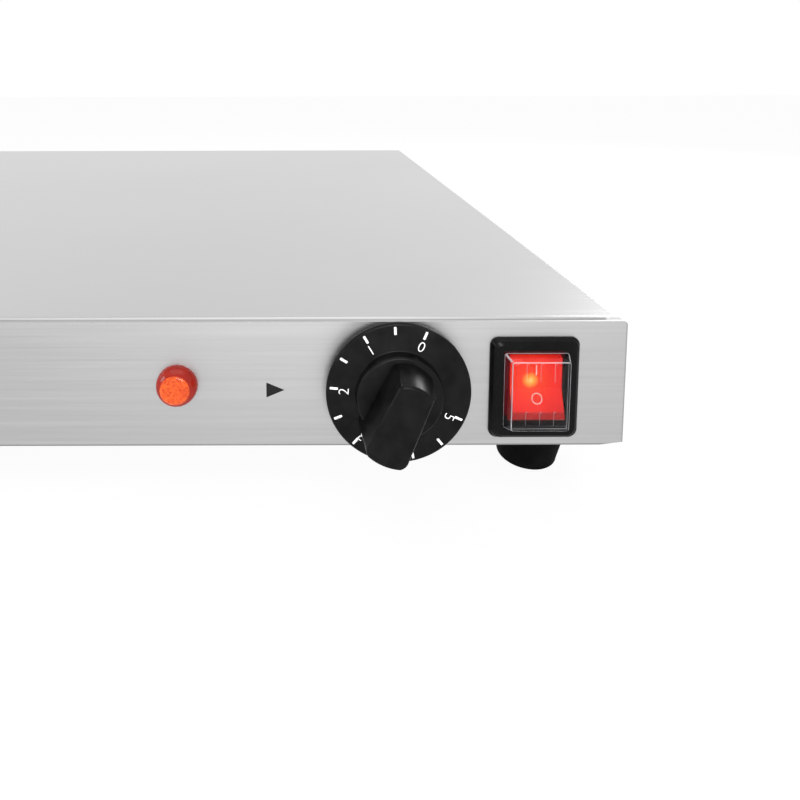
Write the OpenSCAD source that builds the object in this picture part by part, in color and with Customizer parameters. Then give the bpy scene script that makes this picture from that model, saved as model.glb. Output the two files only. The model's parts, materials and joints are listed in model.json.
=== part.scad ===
// Electric food warmer tray: a heated, folded steel top on four feet, with a control panel in front.
// The origin is on the standing surface, below the middle of the whole.
// X runs along the panel, Y to the rear.

/* [Body] */
// Width of the body, along the panel
body_w = 650; // [560:10:800]
// Depth of the body, from the fascia to the rear wall
body_d = 530; // [470:10:650]
// Thickness of the folded top sheet
sheet_t = 1; // [0.8:0.1:1.2]
// Outer radius of the sheet's bends
bend_r = 3; // [2:0.5:4]
// Outer radius of the welded upright corners
corner_r = 1.5; // [1.3:0.1:3]
// Width of the flanges turned in at the bottom
flange_w = 10; // [8:0.5:10]
// Height of the top surface above the fascia's upper edge
top_rise = 0.5; // [0.3:0.1:1]

/* [Fascia] */
// Height of the fascia
panel_h = 45.5; // [44:0.5:54]
// Thickness of the fascia
fascia_t = 1.2; // [1:0.1:1.5]
// Radius of the fascia's upper corners
fascia_r = 1.4; // [0.5:0.1:3]
// Length of the ease at the fascia's lower corners
ease_w = 8; // [4:1:12]
// Height of the ease at the fascia's lower corners
ease_h = 1; // [0.5:0.1:2]
// Number of weld studs behind the plain stretch of the fascia
fascia_studs = 3; // [2:1:5]
// Distance of the first stud from the left end
stud_inset = 45; // [30:5:80]

/* [Base plate] */
// Thickness of the base plate
base_t = 1; // [0.8:0.1:1.5]
// Distance of the base plate's edge inside the body's sides
base_inset = 0.6; // [0.3:0.1:1.5]
// Number of base screws along the front and along the rear
screws_x = 4; // [3:1:6]
// Number of base screws along each side
screws_y = 3; // [2:1:4]
// Distance of the end screws from the body's corners
screw_inset = 62; // [55:1:80]
// Number of vent slots in each group
vent_slots = 7; // [3:1:9]
// Length of a vent slot
vent_l = 46; // [20:2:60]
// Width of a vent slot
vent_w = 4; // [2:0.5:5]
// Distance between vent slots
vent_pitch = 10; // [8:1:14]

/* [Feet] */
// Height of a foot
foot_h = 14; // [12:0.5:20]
// Radius of a foot at its upper end
foot_r = 14; // [12:0.5:15]
// Radius of a foot at its lower end
foot_low_r = 10.8; // [10:0.1:13]
// Rounding of a foot's lower edge
foot_edge_r = 2; // [1:0.1:3]
// Distance of a foot's axis from the side of the body
foot_inset_x = 28.4; // [20:0.2:34]
// Distance of a front foot's axis from the fascia
foot_inset_y = 16; // [16:0.5:34]

/* [Control knob] */
// Distance of the knob's axis from the fascia's right end
knob_from_right = 81; // [78:1:100]
// Distance of the knob's axis below the fascia's upper edge
knob_from_top = 22.8; // [20:0.2:24]
// Gap between the knob and the fascia
knob_gap = 0.8; // [0.5:0.1:1.5]
// Radius of the skirt
skirt_r = 25; // [23:0.5:27]
// Distance of the skirt's face from the fascia
skirt_z = 6.7; // [6:0.1:9]
// Thickness of the skirt
skirt_t = 2; // [1.6:0.1:2.6]
// Radius of the hub
hub_r = 15; // [14:0.5:16]
// Distance of the hub's shoulder from the fascia
hub_z = 10.5; // [10:0.5:13]
// Distance of the grip's face from the fascia
grip_z = 22; // [20:0.5:26]
// Radius of the grip's head at the hub's shoulder
head_end_r = 12.8; // [11:0.1:14]
// Radius of the grip's tail
tail_end_r = 17.6; // [15:0.1:19]
// Width of the grip's face at its head
grip_w1 = 11.3; // [9:0.1:13]
// Width of the grip's face at its tail
grip_w2 = 14.5; // [11:0.1:16]
// Angle of the grip from upright, clockwise, at the setting shown
grip_angle = 24; // [0:1:90]

/* [Thermostat] */
// Radius of the shaft
shaft_r = 3; // [2.5:0.1:3.5]
// Height of the shaft's flat above its axis
shaft_flat = 1.6; // [1:0.1:2]
// Width of the mounting plate
tplate_w = 44; // [40:1:48]
// Height of the mounting plate
tplate_h = 34; // [30:1:36]
// Width of the switch block
tbody_w = 36; // [30:1:40]
// Height of the switch block
tbody_h = 30; // [24:1:32]
// Depth of the switch block
tbody_d = 20; // [16:1:26]
// Distance between the two mounting screws
tscrew_pitch = 28; // [24:1:30]
// Radius of the pressure capsule
capsule_r = 13; // [10:0.5:14]

/* [Rocker switch] */
// Distance of the switch's middle from the fascia's right end
switch_from_right = 32.5; // [30:0.1:38]
// Distance of the switch's middle below the fascia's upper edge
switch_from_top = 23.8; // [22:0.1:25]
// Width of the bezel at the fascia
bezel_w = 31.4; // [30:0.2:34]
// Height of the bezel at the fascia
bezel_h = 36.7; // [36:0.1:40]
// Distance of the bezel's face from the fascia
bezel_t = 2.8; // [2.4:0.1:3.4]
// Draft of the bezel's sides over its thickness
bezel_draft = 1.8; // [1:0.1:2]
// Width of the clear cover at the bezel's face
cover_w = 22.6; // [22:0.1:24]
// Height of the clear cover at the bezel's face
cover_h = 27.2; // [26.6:0.1:28]
// Distance of the cover's face from the bezel's face
cover_t = 4.8; // [4.4:0.1:6]
// Draft of the cover's sides
cover_draft = 1.36; // [0.8:0.02:1.6]
// Thickness of the cover's walls
cover_wall = 0.8; // [0.6:0.1:0.9]
// Width of the housing behind the panel
housing_w = 21.8; // [21.4:0.1:23]
// Height of the housing behind the panel
housing_h = 28; // [27.6:0.2:30]
// Depth of the housing behind the fascia's face
housing_d = 24; // [20:1:30]
// Width of the rocker
rocker_w = 18; // [16:0.5:18.4]
// Radius of the rocker's ends about its axis
rocker_r = 12.1; // [11.5:0.1:12.2]
// Tilt of the rocker from its middle position
rocker_tilt = 10; // [8:1:11]

/* [Indicator lamp] */
// Distance of the lamp's axis from the fascia's right end
lamp_from_right = 158.4; // [150:0.2:180]
// Distance of the lamp's axis below the fascia's upper edge
lamp_from_top = 22.8; // [16:0.1:28]
// Radius of the lens rim
lens_r = 7.3; // [6.8:0.05:9]
// Distance of the lens's crown from the fascia
lens_z = 4.6; // [3.5:0.1:6]
// Radius of the lamp's barrel
barrel_r = 5.5; // [5:0.1:6]
// Length of the barrel behind the fascia's face
barrel_l = 22; // [16:1:30]

/* [Heater] */
// Depth of the control space behind the fascia, up to the insulation pan
control_d = 76; // [72:1:90]
// Depth of the wiring space before the rear wall
rear_d = 56; // [52:1:70]
// Distance from the body's sides to the insulation pan's walls
pan_inset = 24; // [22:1:30]
// Thickness of the insulation pan's sheet
pan_t = 0.8; // [0.6:0.1:1]
// Depth of the insulation pan
pan_depth = 30; // [28:0.5:31]
// Width of the pan's flange
pan_flange = 11; // [10:0.5:12]
// Thickness of the heat spreader
spreader_t = 1.5; // [1:0.1:2]
// Distance of the heat spreader's edge inside the pan's walls
spreader_inset = 12; // [8:1:16]
// Radius of the heating tube
tube_r = 3.25; // [3:0.05:4]
// Number of passes of the heating tube
tube_passes = 6; // [4:2:6]
// Distance of the outer passes inside the spreader's front and rear edges
tube_margin = 41.2; // [36:0.2:46]
// Distance of the tube's bends inside the spreader's edges
tube_inset = 16; // [10:1:30]
// Number of clamp bars across the tube
clamp_bars = 3; // [2:1:4]
// Distance of the end clamp bars inside the spreader's ends
clamp_inset = 118.2; // [110:0.2:120]
// Width of a clamp bar
clamp_w = 16; // [12:1:20]
// Thickness of a clamp bar
clamp_t = 1.2; // [1:0.1:2]
// Radius of the temperature sensor
bulb_r = 3; // [2.5:0.1:3.2]
// Length of the temperature sensor
bulb_l = 84; // [60:2:90]
// Radius of the capillary tube
capillary_r = 0.8; // [0.6:0.1:1.2]

/* [Power entry] */
// Distance of the cable gland's axis from the body's right side
gland_from_right = 62; // [50:1:90]
// Height of the cable gland's axis above the base plate
gland_up = 21; // [18:0.5:24]
// Radius of the cable that the seal takes
cable_r = 3.75; // [3:0.05:4.2]
// Radius of the gland's thread
gland_r = 8; // [7.5:0.1:9]
// Reach of the gland behind the rear wall
gland_reach = 20; // [18:0.5:24]
// Distance of the terminal block's middle from the body's right side
block_from_right = 125; // [110:1:160]
// Distance between the poles of the terminal block
pole_pitch = 11; // [10:0.5:13]
// Distance of the earth stud from the body's right side
earth_from_right = 178; // [165:1:220]

/* [Hidden] */

eps = 0.01; // overlap of a cutter with an open face
over = 1; // overrun of a cutter beyond a face
through = 10; // reach of a cutter on either side of a wall
fit = 0.3; // gap between neighbours that aren't clamped
snug = 0.05; // radial clearance of a shaft or a thread
rest_gap = 0.1; // gap above and below the heating tube and the sensor
$fn = 48;

// Levels, from the standing surface up
base_top = foot_h + base_t;
fascia_top = foot_h + panel_h;
top_z = fascia_top + top_rise;
under_z = top_z - sheet_t;
spreader_z = under_z - spreader_t;
tube_z = spreader_z - tube_r - rest_gap;
clamp_z = tube_z - tube_r - rest_gap - clamp_t;
pan_z = under_z - pan_depth;

// Plan
vent_gap = 20;
right_x = body_w / 2;
left_x = -right_x;
front_y = (grip_z - gland_reach - body_d) / 2;
rear_y = front_y + body_d;
sheet_y = front_y + fascia_t;
panel_back = fascia_t + sheet_t;

// Fasteners
m3_r = 1.5;
m3_hole_r = m3_r + 0.1;
m3_head_r = 2.9;
m3_head_h = 2;
m4_r = 2;
m4_hole_r = m4_r + 0.2;
m4_nut_w = 7;
m4_nut_h = 3.2;
m5_r = 2.5;
m5_nut_w = 8;
m5_nut_h = 4;
m5_head_r = 4.4;
m5_head_h = 3;
m5_head_draft = 1;
m5_washer_r = 5;
m5_washer_t = 1;
counter_r = 5.5;
counter_h = 8;
tap_r = 1.75;
tap_head_r = 3.2;
tap_head_h = 2;
tap_head_draft = 0.6;
tap_hole_r = tap_r + 0.15;
tap_l = 6;
stud_tip = 2;

// Feet
foot_hole_r = m5_r + 0.1;
foot_places = [
  [left_x + foot_inset_x, front_y + foot_inset_y],
  [right_x - foot_inset_x, front_y + foot_inset_y],
  [left_x + foot_inset_x, rear_y - foot_inset_y],
  [right_x - foot_inset_x, rear_y - foot_inset_y]
];

// Base screws, on the middle lines of the flanges
flange_line_x = right_x - flange_w / 2;
flange_front = sheet_y + flange_w / 2;
flange_rear = rear_y - flange_w / 2;
function spread(a, b, n) = [for (i = [0:n - 1]) a + (b - a) * i / (n - 1)];
base_screw_places = [
  for (x = spread(left_x + screw_inset, right_x - screw_inset, screws_x), y = [flange_front, flange_rear])
    [x, y],
  for (y = spread(front_y + screw_inset, rear_y - screw_inset, screws_y), s = [-1, 1])
    [s * flange_line_x, y]
];

// Panel
knob_x = right_x - knob_from_right;
knob_z = fascia_top - knob_from_top;
switch_x = right_x - switch_from_right;
switch_z = fascia_top - switch_from_top;
lamp_x = right_x - lamp_from_right;
lamp_z = fascia_top - lamp_from_top;
stud_z = foot_h + panel_h / 2;
stud_l = panel_back + m4_nut_h + stud_tip;
fascia_stud_xs = spread(left_x + stud_inset, lamp_x - stud_inset, fascia_studs);

// Insulation pan
pan_hx = right_x - pan_inset;
pan_y0 = front_y + control_d;
pan_y1 = rear_y - rear_d;
pan_ym = (pan_y0 + pan_y1) / 2;
vent_ys = [pan_y0 + vent_gap + vent_l / 2, pan_y1 - vent_gap - vent_l / 2];
pan_nut_inset = pan_flange / 2;
pan_bend_r = 2;
pan_corner_r = 4;
pan_stud_inset = 60;
grommet_r = 3;
grommet_lip = 1.2;
lead_hole_r = tube_r + 0.75;
pan_stud_xs = spread(pan_stud_inset - pan_hx, pan_hx - pan_stud_inset, 4);
pan_stud_ys = [pan_y0 + pan_stud_inset, pan_y1 - pan_stud_inset];
pan_stud_places = [
  for (x = pan_stud_xs, y = [pan_y0 - pan_nut_inset, pan_y1 + pan_nut_inset]) [x, y],
  for (y = pan_stud_ys, s = [-1, 1]) [s * (pan_hx + pan_nut_inset), y]
];

// Heating tube: the passes lie along X, joined by half rings
spreader_hx = pan_hx - pan_t - spreader_inset;
spreader_y0 = pan_y0 + pan_t + spreader_inset;
spreader_y1 = pan_y1 - pan_t - spreader_inset;
spreader_corner_r = 6;
tube_y0 = spreader_y0 + tube_margin;
tube_pitch = (spreader_y1 - spreader_y0 - 2 * tube_margin) / (tube_passes - 1);
tube_hx = spreader_hx - tube_inset - tube_pitch / 2;
cold_l = 18;
bead_l = 5;
bead_draft = 0.5;
pin_l = 14;
function pass_y(i) = tube_y0 + i * tube_pitch;

// Clamp bars and their studs
clamp_xs = spread(clamp_inset - spreader_hx, spreader_hx - clamp_inset, clamp_bars);
clamp_corner_r = 3;
clamp_over = 14;
clamp_ys = [pass_y(0) - clamp_over, pan_ym, pass_y(tube_passes - 1) + clamp_over];
clamp_end = 9;
clamp_stud_l = under_z - clamp_z + m4_nut_h + stud_tip;
pan_stud_l = pan_t + m4_nut_h + stud_tip;
blanket_top = under_z - clamp_stud_l - fit;

// Sensor and capillary
lead_out = 12;
bulb_mid = (clamp_xs[clamp_bars - 2] + clamp_xs[clamp_bars - 1]) / 2;
bulb_x = bulb_mid - (bulb_l + lead_out) / 2;
bulb_y = pass_y(1) + tube_pitch / 2;
bulb_z = spreader_z - bulb_r - rest_gap;
bulb_nose = 3;
bulb_tail = 6;
capsule_t = 4.5;
capsule_draft = 4;
capsule_rim = 1;
tplate_t = 1;
collar_r = shaft_r + 1.8;
shaft_root = 11;
tblock_back = panel_back + tplate_t + tbody_d;
capillary_z = blanket_top + 2 * capillary_r;
capillary_x = bulb_x + bulb_l + lead_out;
capillary_y = pan_y0 - 14;
capillary_bend = 5;
function capillary_points() = [
  [bulb_x + bulb_l, bulb_y, bulb_z],
  [capillary_x, bulb_y, bulb_z],
  [capillary_x, bulb_y, capillary_z],
  [capillary_x, capillary_y, capillary_z],
  [knob_x, capillary_y, capillary_z],
  [knob_x, capillary_y, knob_z],
  [knob_x, front_y + tblock_back + capsule_t, knob_z]
];

// Knob
skirt_back = skirt_z - skirt_t;
skirt_edge_r = 0.8;
shroud_r = 19.8;
shroud_wall = 1.8;
boss_r = 6.5;
hub_draft = 0.3;
head_top_r = head_end_r - 2;
grip_edge = 0.8;
grip_draft = 1.4;
grip_slope = grip_draft / (grip_z - grip_edge - hub_z);
grip_root = skirt_z - skirt_t / 2;
rib_t = 1.2;
rib_gap = 1;
hub_wall = 3;
hub_roof = 2;
shaft_end = grip_z - 5;
head_h = 2.2;
head_r = 3.4;
head_draft = 1;
clip_z = knob_gap + 0.9;
clip_t = 0.6;
clip_angle = 300;

// Rocker switch
ledge_d = 1.2;
pocket_w = rocker_w + 2 * fit;
pocket_h = 2 * (rocker_r + fit);
pocket_d = 9;
axis_z = -2.6;
rocker_face = 4.9;
rocker_back = -3.4;
rocker_wall = 1.4;
pin_r = 1.5;
pin_reach = 1.2;
cutout_w = housing_w + 0.4;
cutout_h = housing_h + 0.4;
cutout_r = 0.8;
pocket_r = 0.5;
bezel_r = 3;
bezel_edge = 0.6;
catch_w = 9;
catch_l = 6;
catch_reach = 0.9;
ledge_gap = 0.1;
cover_rib_xs = [-4.8, 0, 4.8];
cover_rib_l = 5.4;
cover_rib_w = 0.6;
cover_rib_h = 0.3;
cover_rib_inset = 3.6;

// Indicator
rim_t = 1.6;
rim_edge = 0.5;
dome_r = lens_r - 1.4;
dome_edge = [0.3, 1.3];
dome_wall = 1.5;
lamp_r = 2;
lamp_nut_h = 3;

// Push-on tabs
tab_w = 6.3;
tab_t = 0.8;
tab_hole_r = 0.9;
tab_hole_z = 2.5;

// Gland
gland_x = right_x - gland_from_right;
gland_z = base_top + gland_up;
hex_t = 5;
hex_w = 22;
body_rim_l = 6;
cap_wall = 1.6;
seal_r = gland_r - cap_wall;
seal_collar = 1;
seal_l = 9;
locknut_t = 4;
thread_l = sheet_t + locknut_t + 3;

// Terminal block and earth stud
block_x = right_x - block_from_right;
block_y = rear_y - 30;
block_w = 3 * pole_pitch + 12;
block_d = 18;
block_h = 9;
block_r = 1.5;
tower_h = 17;
tower_w = 8;
tower_r = 1;
pole_r = 1.9;
pole_z = 6;
clamp_screw_y = 3;
clamp_screw_z = 8;
block_screw_places = [for (s = [-1, 1]) [block_x + s * (block_w / 2 - 3.5), block_y]];
earth_x = right_x - earth_from_right;
earth_y = block_y;
earth_l = 14;
earth_base_r = 3.5;
washer_t = 0.8;
washer_r = 4.5;

// ---- Frames ----

// Local Z points out of the fascia and local Y up
module on_panel(x, z) {
  translate([x, front_y, z]) rotate([90, 0, 0]) children();
}

// Local Z points out of the rear wall
module on_rear(x, z) {
  translate([x, rear_y, z]) rotate([-90, 0, 0]) children();
}

module at_places(places, z) {
  for (p = places) translate([p[0], p[1], z]) children();
}

// ---- Shapes ----

module rounded_rect(x0, y0, x1, y1, r) {
  translate([x0 + r, y0]) square([x1 - x0 - 2 * r, y1 - y0]);
  translate([x0, y0 + r]) square([x1 - x0, y1 - y0 - 2 * r]);
  for (x = [x0 + r, x1 - r], y = [y0 + r, y1 - r]) translate([x, y]) circle(r);
}

module centred_rect(w, h, r) {
  rounded_rect(-w / 2, -h / 2, w / 2, h / 2, r);
}

module slot(l, w) {
  square([l - w, w], center = true);
  for (s = [-1, 1]) translate([s * (l - w) / 2, 0]) circle(w / 2);
}

// Block whose edges along X and along Y are bent with radius r, and whose upright corners have radius c
module folded_block(hx, y0, y1, z0, z1, r, c) {
  intersection() {
    translate([0, y1, 0]) rotate([90, 0, 0]) linear_extrude(y1 - y0) rounded_rect(-hx, z0, hx, z1, r);
    translate([-hx, 0, 0]) rotate([90, 0, 90]) linear_extrude(2 * hx) rounded_rect(y0, z0, y1, z1, r);
    translate([0, 0, z0]) linear_extrude(z1 - z0) rounded_rect(-hx, y0, hx, y1, c);
  }
}

// Block that narrows by draft on each side from z0 to z1, with flat faces
module drafted_block(w, h, z0, z1, draft) {
  intersection() {
    translate([0, h / 2, 0]) rotate([90, 0, 0]) linear_extrude(h)
      polygon([[-w / 2, z0], [w / 2, z0], [w / 2 - draft, z1], [-w / 2 + draft, z1]]);
    translate([-w / 2, 0, 0]) rotate([90, 0, 90]) linear_extrude(w)
      polygon([[-h / 2, z0], [h / 2, z0], [h / 2 - draft, z1], [-h / 2 + draft, z1]]);
  }
}

module ring(r, hole_r, h) {
  difference() {
    cylinder(r = r, h = h);
    translate([0, 0, -eps]) cylinder(r = hole_r, h = h + 2 * eps);
  }
}

module hex_nut(w, hole_r, h) {
  difference() {
    cylinder(r = w / sqrt(3), h = h, $fn = 6);
    translate([0, 0, -eps]) cylinder(r = hole_r, h = h + 2 * eps);
  }
}

module d_profile(r, flat) {
  difference() {
    circle(r);
    translate([flat, -r]) square([r, 2 * r]);
  }
}

// Flat push-on tab pointing along -Z, with its hole
module tab(l) {
  translate([0, 0, -l]) difference() {
    translate([-tab_w / 2, -tab_t / 2, 0]) cube([tab_w, tab_t, l]);
    translate([0, tab_t, tab_hole_z]) rotate([90, 0, 0]) cylinder(r = tab_hole_r, h = 2 * tab_t);
  }
}

// Path with its corners rounded: each inner corner becomes an arc of n chords
function unit(v) = v / norm(v);
function arc_points(a, b, c, r, n) =
  let (u = unit(a - b), v = unit(c - b), half = acos(u * v) / 2, d = r / tan(half), m = unit(u + v),
    o = b + m * (r / sin(half)), s = unit(b + u * d - o), e = unit(b + v * d - o), w = acos(s * e))
  [for (i = [0:n]) o + r * (s * sin(w * (n - i) / n) + e * sin(w * i / n)) / sin(w)];
function rounded_path(p, r, n) = [
  p[0],
  for (i = [1:len(p) - 2]) each arc_points(p[i - 1], p[i], p[i + 1], r, n),
  p[len(p) - 1]
];
function tangent(p, i) = unit(p[min(i + 1, len(p) - 1)] - p[max(i - 1, 0)]);
function normals(p, i, prev) =
  let (t = tangent(p, i), n = unit(prev - t * (prev * t)))
  i == len(p) - 1 ? [n] : concat([n], normals(p, i + 1, n));

// Round tube with flat ends along a path, starting square to side
module swept_tube(p, r, side, sides = 8) {
  ns = normals(p, 0, side);
  last = len(p) - 1;
  points = [
    for (i = [0:last], k = [0:sides - 1])
      let (t = tangent(p, i), n = ns[i], b = cross(t, n), a = 360 * k / sides)
      p[i] + r * (n * cos(a) + b * sin(a))
  ];
  sheets = [
    for (i = [0:last - 1], k = [0:sides - 1])
      [i * sides + k, (i + 1) * sides + k, (i + 1) * sides + (k + 1) % sides, i * sides + (k + 1) % sides]
  ];
  near_end = [for (k = [0:sides - 1]) k];
  far_end = [for (k = [sides - 1:-1:0]) last * sides + k];
  polyhedron(points, concat([near_end], sheets, [far_end]));
}

// ---- Body ----

module through_hole(r) {
  translate([0, 0, -through]) cylinder(r = r, h = 2 * through);
}

// What passes through the fascia and the sheet behind it
module panel_openings() {
  on_panel(knob_x, knob_z) {
    through_hole(collar_r + 2 * snug);
    for (s = [-1, 1]) translate([s * tscrew_pitch / 2, 0, 0]) through_hole(m4_hole_r);
  }
  on_panel(switch_x, switch_z) translate([0, 0, -through]) linear_extrude(2 * through)
    centred_rect(cutout_w, cutout_h, cutout_r);
  on_panel(lamp_x, lamp_z) through_hole(barrel_r + 2 * snug);
}

module top_plate() {
  color("gainsboro") difference() {
    folded_block(right_x, sheet_y, rear_y, base_top, top_z, bend_r, corner_r);
    folded_block(right_x - sheet_t, sheet_y + sheet_t, rear_y - sheet_t, base_top + sheet_t, under_z,
      bend_r - sheet_t, corner_r - sheet_t);
    translate([0, 0, base_top - over]) linear_extrude(sheet_t + 2 * over)
      rounded_rect(left_x + flange_w, sheet_y + flange_w, right_x - flange_w, rear_y - flange_w, bend_r);
    panel_openings();
    for (x = fascia_stud_xs) on_panel(x, stud_z) through_hole(m4_hole_r);
    on_rear(gland_x, gland_z) through_hole(gland_r + 2 * snug);
    at_places(base_screw_places, base_top - over) cylinder(r = tap_r + snug, h = sheet_t + 2 * over);
  }
}

module fascia_outline() {
  hw = body_w / 2;
  polygon([
    [ease_w - hw, 0], [hw - ease_w, 0], [hw, ease_h], [hw, panel_h - fascia_r],
    [-hw, panel_h - fascia_r], [-hw, ease_h]
  ]);
  translate([fascia_r - hw, panel_h - 2 * fascia_r]) square([body_w - 2 * fascia_r, 2 * fascia_r]);
  for (s = [-1, 1]) translate([s * (hw - fascia_r), panel_h - fascia_r]) circle(fascia_r);
}

module front_fascia() {
  color("silver") union() {
    difference() {
      on_panel(0, foot_h) translate([0, 0, -fascia_t]) linear_extrude(fascia_t) fascia_outline();
      panel_openings();
    }
    for (x = fascia_stud_xs) on_panel(x, stud_z) translate([0, 0, -stud_l])
      cylinder(r = m4_r, h = stud_l - fascia_t / 2);
  }
}

module fascia_nuts() {
  color("lightgrey") for (x = fascia_stud_xs)
    on_panel(x, stud_z) translate([0, 0, -panel_back - m4_nut_h]) hex_nut(m4_nut_w, m4_r + snug, m4_nut_h);
}

module vent_group() {
  for (i = [0:vent_slots - 1]) translate([(i - (vent_slots - 1) / 2) * vent_pitch, 0]) rotate(90)
    slot(vent_l, vent_w);
}

module base_plate() {
  color("darkgrey") difference() {
    translate([0, 0, foot_h]) linear_extrude(base_t) difference() {
      rounded_rect(left_x + base_inset, sheet_y + base_inset, right_x - base_inset,
        rear_y - base_inset, corner_r);
      for (x = [-body_w / 4, body_w / 4], y = vent_ys) translate([x, y]) vent_group();
    }
    at_places(foot_places, foot_h - over) cylinder(r = foot_hole_r, h = base_t + 2 * over);
    at_places(base_screw_places, foot_h - over) cylinder(r = tap_hole_r, h = base_t + 2 * over);
    at_places(block_screw_places, foot_h - over) cylinder(r = m3_hole_r, h = base_t + 2 * over);
  }
}

module base_screws() {
  color("lightgrey") at_places(base_screw_places, foot_h) {
    translate([0, 0, -tap_head_h])
      cylinder(r1 = tap_head_r - tap_head_draft, r2 = tap_head_r, h = tap_head_h);
    translate([0, 0, -tap_head_h / 2]) cylinder(r = tap_r, h = tap_l + tap_head_h / 2);
  }
}

// ---- Feet ----

module foot(place) {
  color("dimgray") translate([place[0], place[1], 0]) rotate_extrude() difference() {
    union() {
      polygon([
        [0, 0], [foot_low_r - foot_edge_r, 0], [foot_low_r, foot_edge_r],
        [foot_r, foot_h], [0, foot_h]
      ]);
      translate([foot_low_r - foot_edge_r, foot_edge_r]) circle(foot_edge_r);
    }
    translate([-foot_r, -over]) square([foot_r + foot_hole_r, foot_h + 2 * over]);
    translate([-foot_r, -over]) square([foot_r + counter_r, counter_h + over]);
  }
}

module foot_screws() {
  shank_l = foot_h - counter_h + m5_washer_t + base_t + m5_nut_h + stud_tip / 2;
  color("lightgrey") at_places(foot_places, counter_h - m5_washer_t) {
    translate([0, 0, -m5_head_h]) cylinder(r1 = m5_head_r - m5_head_draft, r2 = m5_head_r, h = m5_head_h);
    translate([0, 0, -m5_head_h / 2]) cylinder(r = m5_r, h = shank_l + m5_head_h / 2);
  }
}

module foot_washers() {
  color("lightgrey") at_places(foot_places, counter_h - m5_washer_t)
    ring(m5_washer_r, foot_hole_r, m5_washer_t);
}

module foot_nuts() {
  color("lightgrey") at_places(foot_places, base_top) hex_nut(m5_nut_w, m5_r + snug, m5_nut_h);
}

// ---- Heater ----

module heat_spreader() {
  color("lightsteelblue") translate([0, 0, spreader_z]) linear_extrude(spreader_t) difference() {
    rounded_rect(-spreader_hx, spreader_y0, spreader_hx, spreader_y1, spreader_corner_r);
    for (x = clamp_xs, y = clamp_ys) translate([x, y]) circle(m4_hole_r);
  }
}

module heating_element() {
  color("slategray") translate([0, 0, tube_z]) {
    for (i = [0:tube_passes - 1]) {
      ends = i == 0 || i == tube_passes - 1;
      translate([-tube_hx, pass_y(i), 0]) rotate([0, 90, 0])
        cylinder(r = tube_r, h = 2 * tube_hx + (ends ? cold_l : 0));
    }
    for (i = [0:tube_passes - 2]) {
      side = i % 2 == 0 ? -1 : 1;
      translate([side * tube_hx, pass_y(i) + tube_pitch / 2, 0]) rotate([0, 0, side * 90 + 180])
        rotate_extrude(angle = 180) translate([tube_pitch / 2, 0]) circle(tube_r);
    }
  }
}

// Ceramic beads and threaded pins at the tube's cold ends
module element_terminals() {
  color("white") for (i = [0, tube_passes - 1])
    translate([tube_hx + cold_l, pass_y(i), tube_z]) rotate([0, 90, 0]) {
      cylinder(r1 = tube_r - bead_draft, r2 = tube_r - 2 * bead_draft, h = bead_l);
      cylinder(r = m3_r, h = pin_l);
    }
}

module element_clamps() {
  y0 = clamp_ys[0] - clamp_end;
  y1 = clamp_ys[2] + clamp_end;
  color("silver") for (x = clamp_xs) translate([x, 0, clamp_z]) linear_extrude(clamp_t) difference() {
    rounded_rect(-clamp_w / 2, y0, clamp_w / 2, y1, clamp_corner_r);
    for (y = clamp_ys) translate([0, y]) circle(m4_hole_r);
  }
}

module weld_studs() {
  color("lightgrey") {
    for (x = clamp_xs, y = clamp_ys) translate([x, y, under_z - clamp_stud_l])
      cylinder(r = m4_r, h = clamp_stud_l);
    at_places(pan_stud_places, under_z - pan_stud_l) cylinder(r = m4_r, h = pan_stud_l);
  }
}

module clamp_nuts() {
  color("lightgrey") for (x = clamp_xs, y = clamp_ys)
    translate([x, y, clamp_z - m4_nut_h]) hex_nut(m4_nut_w, m4_r + snug, m4_nut_h);
}

module insulation_pan() {
  r = pan_bend_r;
  color("lightgray") difference() {
    union() {
      folded_block(pan_hx, pan_y0, pan_y1, pan_z, under_z + r, r, r);
      translate([0, 0, under_z - pan_t]) linear_extrude(pan_t)
        rounded_rect(-pan_hx - pan_flange, pan_y0 - pan_flange, pan_hx + pan_flange,
          pan_y1 + pan_flange, pan_corner_r);
    }
    folded_block(pan_hx - pan_t, pan_y0 + pan_t, pan_y1 - pan_t, pan_z + pan_t, under_z + 2 * r,
      r - pan_t, r - pan_t);
    translate([0, 0, under_z]) linear_extrude(4 * r) square([body_w, 2 * body_d], center = true);
    at_places(pan_stud_places, under_z - pan_t - over) cylinder(r = m4_hole_r, h = pan_t + 2 * over);
    on_panel(capillary_x, capillary_z) translate([0, 0, -control_d]) through_hole(grommet_r);
    for (i = [0, tube_passes - 1]) translate([pan_hx, pass_y(i), tube_z]) rotate([0, 90, 0])
      through_hole(lead_hole_r);
  }
}

module pan_nuts() {
  color("lightgrey") at_places(pan_stud_places, under_z - pan_t - m4_nut_h)
    hex_nut(m4_nut_w, m4_r + snug, m4_nut_h);
}

module insulation_blanket() {
  gap = pan_t + pan_bend_r;
  color("khaki") translate([0, 0, pan_z + pan_t]) linear_extrude(blanket_top - pan_z - pan_t)
    rounded_rect(-pan_hx + gap, pan_y0 + gap, pan_hx - gap, pan_y1 - gap, pan_corner_r);
}

// ---- Sensor ----

module pan_grommet() {
  l = pan_t + 2 * grommet_lip;
  color("darkslategray") on_panel(capillary_x, capillary_z)
    translate([0, 0, -control_d - pan_t - grommet_lip])
    difference() {
      union() {
        cylinder(r = grommet_r - snug, h = l);
        for (z = [0, l - grommet_lip]) translate([0, 0, z])
          cylinder(r = grommet_r + grommet_lip, h = grommet_lip);
      }
      translate([0, 0, -eps]) cylinder(r = capillary_r + 2 * snug, h = l + 2 * eps);
    }
}

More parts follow.
